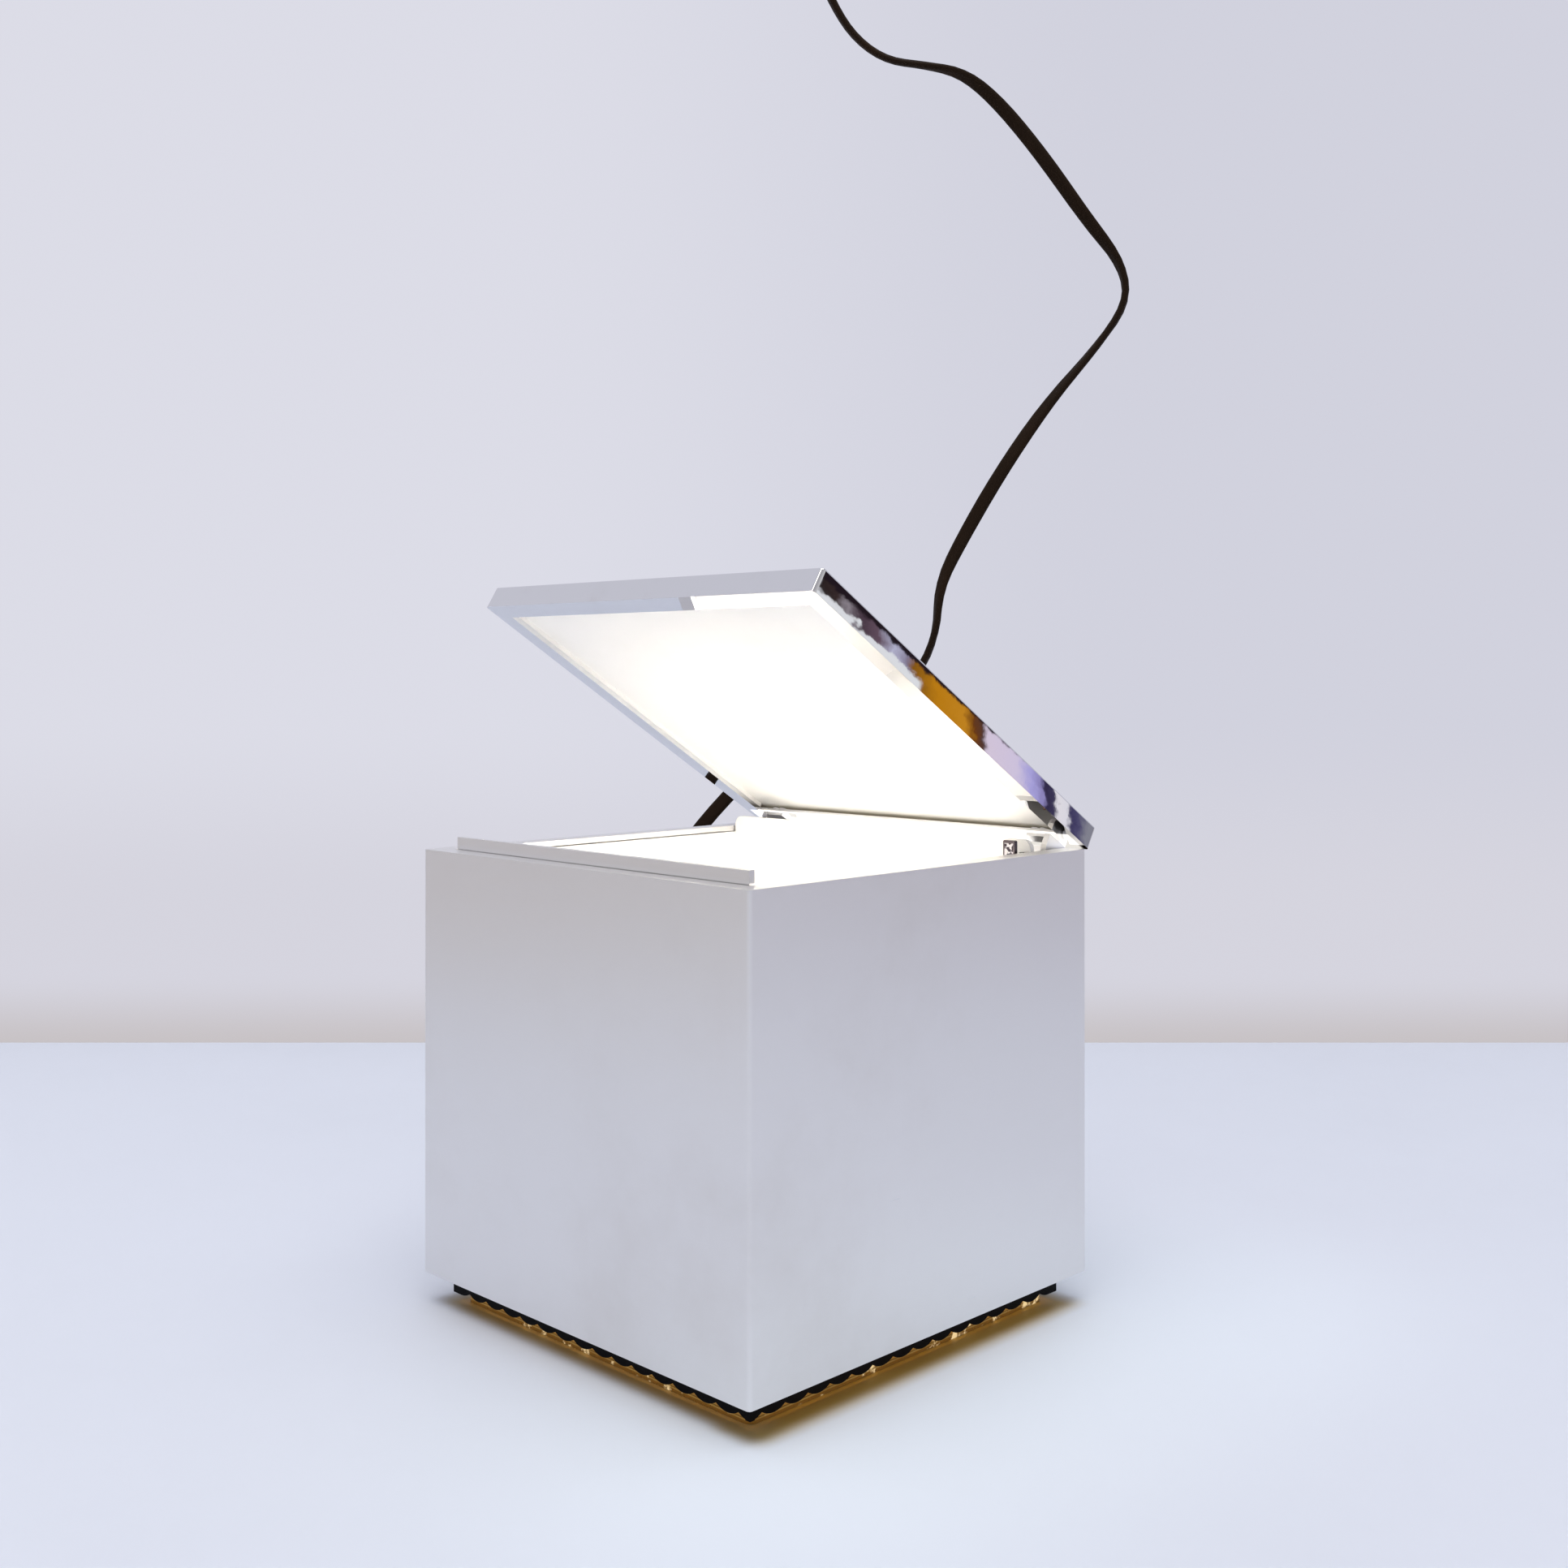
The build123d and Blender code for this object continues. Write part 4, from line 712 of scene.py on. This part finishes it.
hem_line = add_object("hem_line", bpy.data.meshes.new("hem_line"))
run_tree(hem_line, hem_tree(shaded_hem_gold), HEM_SIZES)
hem = plain_mesh(hem_line, "band_hem")
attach(hem, "lamp")
hem_heights = [round(vertex.co.z / MM, 2) for vertex in hem.data.vertices]
print("hem of the gold band, from", min(hem_heights), "to", max(hem_heights), "mm above the table")

# %% [markdown]
# The table and the wall are flat sheets with dull paint. They belong to the stage and not to the lamp. Their
# backs are see-through, so that they never hide the lamp from behind or from below.

# %% Sheets of the stage
STAGE_REACH = 3.0


def stage_paint(name, colour):
    """Dull paint with soft clouds in it."""
    darker = tuple(0.97 * part for part in colour)
    return finish(name, colour, darker, (0.45, 0.6), marks=(6.0, 0.4, 0.8))


def stage_sheet(name, corners, material):
    """Flat stage piece from its corners, in metres."""
    mesh = bpy.data.meshes.new(name)
    mesh.from_pydata([tuple(corner) for corner in corners], [], [tuple(range(len(corners)))])
    mesh.materials.append(material)
    sheet = add_object(name, mesh)
    return sheet


def see_through_back(tree, front_shader):
    """Let a sheet be seen through from behind, and keep its front."""
    clear = add_node(tree, "ShaderNodeBsdfTransparent")
    sight = add_node(tree, "ShaderNodeNewGeometry")
    either = add_node(tree, "ShaderNodeMixShader")
    for socket, value in enumerate((sight.outputs["Backfacing"], front_shader, clear.outputs[0])):
        wire(tree, value, either.inputs[socket])
    wire(tree, either.outputs[0], tree.nodes["Material Output"].inputs[0])


print("stage reaches:", STAGE_REACH, "m each way")

# %% [markdown]
# The table is plain and pale. Its colour turns warmer far to the left and greyer far to the right. Beside the
# base, light and shade from the lamp are painted into its colour: a pale painted sheen at the right, and two
# narrow brown pools close to the vents, which are painted shade under the sleeve's edge with painted amber
# light in it. They are soft masks in its colour, because lights alone would spread too wide.

# %% Table
ORIGIN = (0, 0, 0)
SIDEWAYS = Vector((0.7091, 0.7051, 0))
BASE_HALF = 46.0
FAR_TINTS = ((-0.30, -0.75, (0.66, 0.61, 0.56)), (0.32, 0.80, (0.62, 0.60, 0.68)))
table_paint = stage_paint("table_top", (0.725, 0.77, 0.86))
table_corners = [(-1, -1, 0), (1, -1, 0), (1, 1, 0), (-1, 1, 0)]
stage_sheet("table_top", [Vector(corner) * STAGE_REACH for corner in table_corners], table_paint)
table_tree = table_paint.node_tree
table_place = object_place(table_tree)
across_table = distance_along(table_tree, table_place, ORIGIN, SIDEWAYS)
to_right = distance_along(table_tree, table_place, ORIGIN, (1, 0, 0))
to_front = distance_along(table_tree, table_place, ORIGIN, (0, -1, 0))
off_right = link_math(table_tree, "ABSOLUTE", to_right)
off_front = link_math(table_tree, "ABSOLUTE", to_front)
for start, end, tint in FAR_TINTS:
    shift_colour(table_tree, smooth_step(table_tree, across_table, start, end), tint)
# Painted sheen of the lamp's light on the table at the right of the base.
sheen_limits = ((to_right, 140.0, 60.0), (to_right, -40.0, 60.0), (off_front, 150.0, 40.0))
shift_colour(table_tree, bounded(table_tree, sheen_limits, MM), (0.82, 0.895, 0.98))
# Painted shade under the sleeve's edge beside the vents, with painted amber light in it.
for outwards, aside, faint, full, tint in (
    (to_right, off_front, 53.0, 46.5, (0.46, 0.34, 0.10)),
    (to_front, off_right, 49.0, 45.0, (0.44, 0.35, 0.17)),
):
    pool_limits = ((outwards, faint, full), (outwards, 36.0, 42.0), (aside, BASE_HALF + 5.0, BASE_HALF - 2.0))
    shift_colour(table_tree, bounded(table_tree, pool_limits, MM), tint)
see_through_back(table_tree, shader_of(table_paint).outputs[0])
print("table:", 2 * STAGE_REACH, "m wide")

# %% [markdown]
# The wall shows the camera and the bright metal a steady soft colour, a little darker to the right and low
# down, with painted shade at its foot along the table. It still takes part in the light as a painted wall
# would. A wall lit just right would need several lights, and they would also change the light on the lamp.

# %% Wall
AHEAD = Vector((-0.7051, 0.7091, 0))
WALL_DISTANCE = 0.623
wall_foot = Vector((camera.location.x, camera.location.y, 0)) + AHEAD * WALL_DISTANCE
wall_left = wall_foot - SIDEWAYS * STAGE_REACH
wall_right = wall_foot + SIDEWAYS * STAGE_REACH
wall_rise = Vector((0, 0, STAGE_REACH))
wall_paint = stage_paint("wall", (0.68, 0.69, 0.77))
stage_sheet("wall", [wall_left, wall_right, wall_right + wall_rise, wall_left + wall_rise], wall_paint)
wall_tree = wall_paint.node_tree
wall_place = object_place(wall_tree)
across_wall = distance_along(wall_tree, wall_place, ORIGIN, SIDEWAYS)
up_wall = distance_along(wall_tree, wall_place, ORIGIN, (0, 0, 1))
rightwards = smooth_step(wall_tree, across_wall, -0.10, 0.14)
lower_wall = smooth_step(wall_tree, up_wall, 0.12, 0.05)
above_foot = smooth_step(wall_tree, up_wall, -0.004, 0.026)
wall_colour = blend_colour(wall_tree, rightwards, (0.716, 0.718, 0.798), (0.640, 0.643, 0.730))
wall_colour = blend_colour(wall_tree, lower_wall, wall_colour, (0.668, 0.662, 0.736))
# Painted shade at the foot of the wall, along the table.
wall_colour = blend_colour(wall_tree, above_foot, (0.570, 0.535, 0.550), wall_colour)
even = add_node(wall_tree, "ShaderNodeEmission", Color=wall_colour, Strength=1.0)
ray = add_node(wall_tree, "ShaderNodeLightPath")
seen = link_math(wall_tree, "MAXIMUM", ray.outputs["Is Camera Ray"], ray.outputs["Is Glossy Ray"])
wall_front = add_node(wall_tree, "ShaderNodeMixShader")
for socket, value in enumerate((seen, shader_of(wall_paint).outputs[0], even.outputs[0])):
    wire(wall_tree, value, wall_front.inputs[socket])
see_through_back(wall_tree, wall_front.outputs[0])
print("wall:", WALL_DISTANCE, "m from the camera")

# %% [markdown]
# The room's light is soft and comes from all round, a little less from above. One large area light overhead
# adds a weak direction to it. Both are kept low, so that the lit well stays the brightest place.

# %% Light of the room
def area_light(name, place, power, colour, size):
    """Square area light at a place in metres, pointing down."""
    data = bpy.data.lights.new(name, "AREA")
    data.energy = power
    data.color = colour
    data.size = size
    light = add_object(name, data)
    light.location = place
    return light


world = bpy.data.worlds.new("soft_room")
bpy.context.scene.world = world
world.use_nodes = True
room = world.node_tree
room_place = add_node(room, "ShaderNodeTexCoord")
room_split = add_node(room, "ShaderNodeSeparateXYZ", Vector=room_place.outputs["Generated"])
room_height = add_node(room, "ShaderNodeMapRange", Value=room_split.outputs[2], From_Min=0.0, From_Max=0.7)
room_colour = blend_colour(room, room_height.outputs[0], (0.98, 0.97, 0.98), (0.58, 0.57, 0.60))
wire(room, room_colour, room.nodes["Background"].inputs["Color"])
wire(room, 0.80, room.nodes["Background"].inputs["Strength"])
OVERHEAD_PLACE = Vector((0.1, -0.2, 1.6))
OVERHEAD_TARGET = Vector((0, 0, 0.05))
overhead = area_light("soft_overhead", OVERHEAD_PLACE, 17.0, (1.0, 0.98, 0.96), 1.4)
overhead.rotation_euler = (OVERHEAD_TARGET - OVERHEAD_PLACE).to_track_quat("-Z", "Y").to_euler()
print("overhead light:", overhead.data.energy, "W")

# %% [markdown]
# Amber light leaks out of the vents, past the gold band, and lies on the table beside the base. Thin lights
# in the slot behind the teeth light the table under them, and weaker ones under the sleeve's edge spread the
# glow further out, mostly at the right. One more thin light warms the rear edge of the lid from the well.

# %% Vent glow
AMBER = (1.0, 0.52, 0.11)
PALE_AMBER = (1.0, 0.80, 0.42)
STRIP_LENGTH = 86.0 * MM


def thin_light(name, place, power, colour, length, width, turn):
    """Long thin light that the camera can't see."""
    light = area_light(name, place, power, colour, length)
    light.data.shape = "RECTANGLE"
    light.data.size_y = width
    light.rotation_euler = turn
    light.visible_camera = False


def glow_strip(name, side, reach, height, width, power, lean=0.0):
    """Thin amber light along one side of the base, pointing down and a little outwards; sizes are in mm."""
    angle = radians(90 * side)
    place = Vector((sin(angle) * reach, -cos(angle) * reach, height)) * MM
    thin_light(name, place, power, AMBER, STRIP_LENGTH, width * MM, (-lean, 0, angle))


for side in range(4):
    glow_strip("slot_glow_%d" % side, side, 43.9, 7.2, 0.6, 0.0008)
glow_strip("edge_glow_front", 0, 46.4, 6.0, 1.5, 0.0002, radians(10))
glow_strip("edge_glow_right", 1, 46.8, 6.0, 2.0, 0.0003, radians(15))
thin_light("hinge_fill", (0, 0.030, 0.1015), 0.0010, PALE_AMBER, 84.0 * MM, 4.0 * MM, (radians(96), 0, 0))
print("lights:", len(bpy.data.lights))

# %% [markdown]
# The bright lid mirrors a room that the picture doesn't show. A card stands for it, far to the right. The
# camera can't see the card itself, only what the lid's right edge shows of it. Its own map runs along the
# mirrored edge from the lid's front to its rear, and across it from the top down.

# %% Room card
CARD_TOP_FRONT = Vector((0.30, 0.2334, 0.1752))
CARD_ALONG = Vector((0, 0.1851, -0.1083))
CARD_ACROSS = Vector((0, -0.0056, -0.0112))
CARD_MAP = [(-0.08, -0.30), (1.08, -0.30), (1.08, 1.30), (-0.08, 1.30)]
card_finish = bpy.data.materials.new("room_card")
card_finish.use_nodes = True
card_corners = [CARD_TOP_FRONT + CARD_ALONG * corner[0] + CARD_ACROSS * corner[1] for corner in CARD_MAP]
card = stage_sheet("room_card", card_corners, card_finish)
card_uv = card.data.uv_layers.new(name="edge_map")
for corner, place in zip(card_uv.data, CARD_MAP):
    corner.uv = place
card.visible_camera = False
card.visible_shadow = False
card.visible_diffuse = False
print("card:", round(CARD_ALONG.length, 3), "m along the mirrored edge")

# %% [markdown]
# What a lid mirrors of a room is never straight, so two noises bend everything on the card, a slow one and a
# quick one. Straight bands would look painted on.

# %% Bends of the card
card_tree = card_finish.node_tree
card_place = add_node(card_tree, "ShaderNodeTexCoord").outputs["UV"]
card_split = add_node(card_tree, "ShaderNodeSeparateXYZ", Vector=card_place)
card_along = card_split.outputs[0]
card_across = card_split.outputs[1]


def card_wander(scale, detail):
    """Noise round zero, stretched along and across the card."""
    stretched = add_node(card_tree, "ShaderNodeMapping", Vector=card_place, Scale=scale)
    noise = add_node(card_tree, "ShaderNodeTexNoise", Vector=stretched.outputs[0], Scale=1.0, Detail=detail)
    return link_math(card_tree, "SUBTRACT", noise.outputs[0], 0.5)


def card_add(value, wander, reach):
    """Shift a value by another one, times a reach."""
    return link_math(card_tree, "ADD", value, link_math(card_tree, "MULTIPLY", wander, reach))


slow_wander = card_wander((9, 1.4, 1), 2.0)
quick_wander = card_wander((34, 3.0, 1), 4.0)
print("nodes that bend the card:", len(card_tree.nodes))

# %% [markdown]
# The colours on the card are a row of soft bands, from the dark front of the lid to its bluish rear. A colour
# ramp holds them, and the two noises shift their places.

# %% Bands of the card
CARD_FIRST = (0.9, 0.9, 1.0)
CARD_LAST = (0.30, 0.30, 0.36)
CARD_BANDS = (
    (0.03, (0.03, 0.02, 0.02)),
    (0.08, (0.05, 0.03, 0.03)),
    (0.11, (0.34, 0.30, 0.34)),
    (0.15, (0.08, 0.05, 0.07)),
    (0.21, (0.16, 0.10, 0.14)),
    (0.26, (0.62, 0.62, 0.82)),
    (0.31, (0.30, 0.26, 0.38)),
    (0.335, (0.30, 0.12, 0.01)),
    (0.42, (0.66, 0.27, 0.01)),
    (0.51, (0.72, 0.31, 0.02)),
    (0.545, (0.20, 0.06, 0.01)),
    (0.58, (0.10, 0.05, 0.04)),
    (0.60, (0.88, 0.76, 0.92)),
    (0.71, (0.84, 0.74, 0.96)),
    (0.77, (0.52, 0.48, 0.92)),
    (0.81, (0.34, 0.30, 0.62)),
    (0.825, (0.04, 0.03, 0.08)),
    (0.855, (0.06, 0.05, 0.12)),
    (0.87, (0.98, 0.95, 1.0)),
    (0.92, (0.95, 0.93, 1.0)),
    (0.935, (0.06, 0.05, 0.14)),
    (0.965, (0.10, 0.09, 0.20)),
)
bands = add_node(card_tree, "ShaderNodeValToRGB")
slanted = card_add(link_math(card_tree, "ADD", card_along, 0.045), card_across, -0.03)
wire(card_tree, card_add(card_add(slanted, slow_wander, 0.05), quick_wander, 0.05), bands.inputs[0])
ramp = bands.color_ramp.elements
ramp[0].color = (*CARD_FIRST, 1)
ramp[1].color = (*CARD_LAST, 1)
for position, colour in CARD_BANDS:
    ramp.new(position).color = (*colour, 1)
print("card colours:", len(ramp))

# %% [markdown]
# Two thin edges finish the card: a pale one low on the front part, and a dark one along the top that ends
# before the rear. The card glows with these colours by itself, so no light of the room changes them.

# %% Edges of the card
waved = card_add(card_add(card_across, slow_wander, 1.1), quick_wander, 0.4)
pale_edge = bounded(card_tree, ((waved, 0.66, 0.74), (card_along, 0.345, 0.325)))
ragged = card_add(card_across, quick_wander, 0.4)
dark_edge = bounded(card_tree, ((ragged, 0.36, 0.24), (card_along, 0.80, 0.66)))
card_colour = blend_colour(card_tree, pale_edge, bands.outputs[0], (0.95, 0.97, 1.0))
card_colour = blend_colour(card_tree, dark_edge, card_colour, (0.02, 0.012, 0.018))
shine = add_node(card_tree, "ShaderNodeEmission", Color=card_colour, Strength=1.0)
wire(card_tree, shine.outputs[0], card_tree.nodes["Material Output"].inputs[0])
print("nodes of the card:", len(card_tree.nodes))
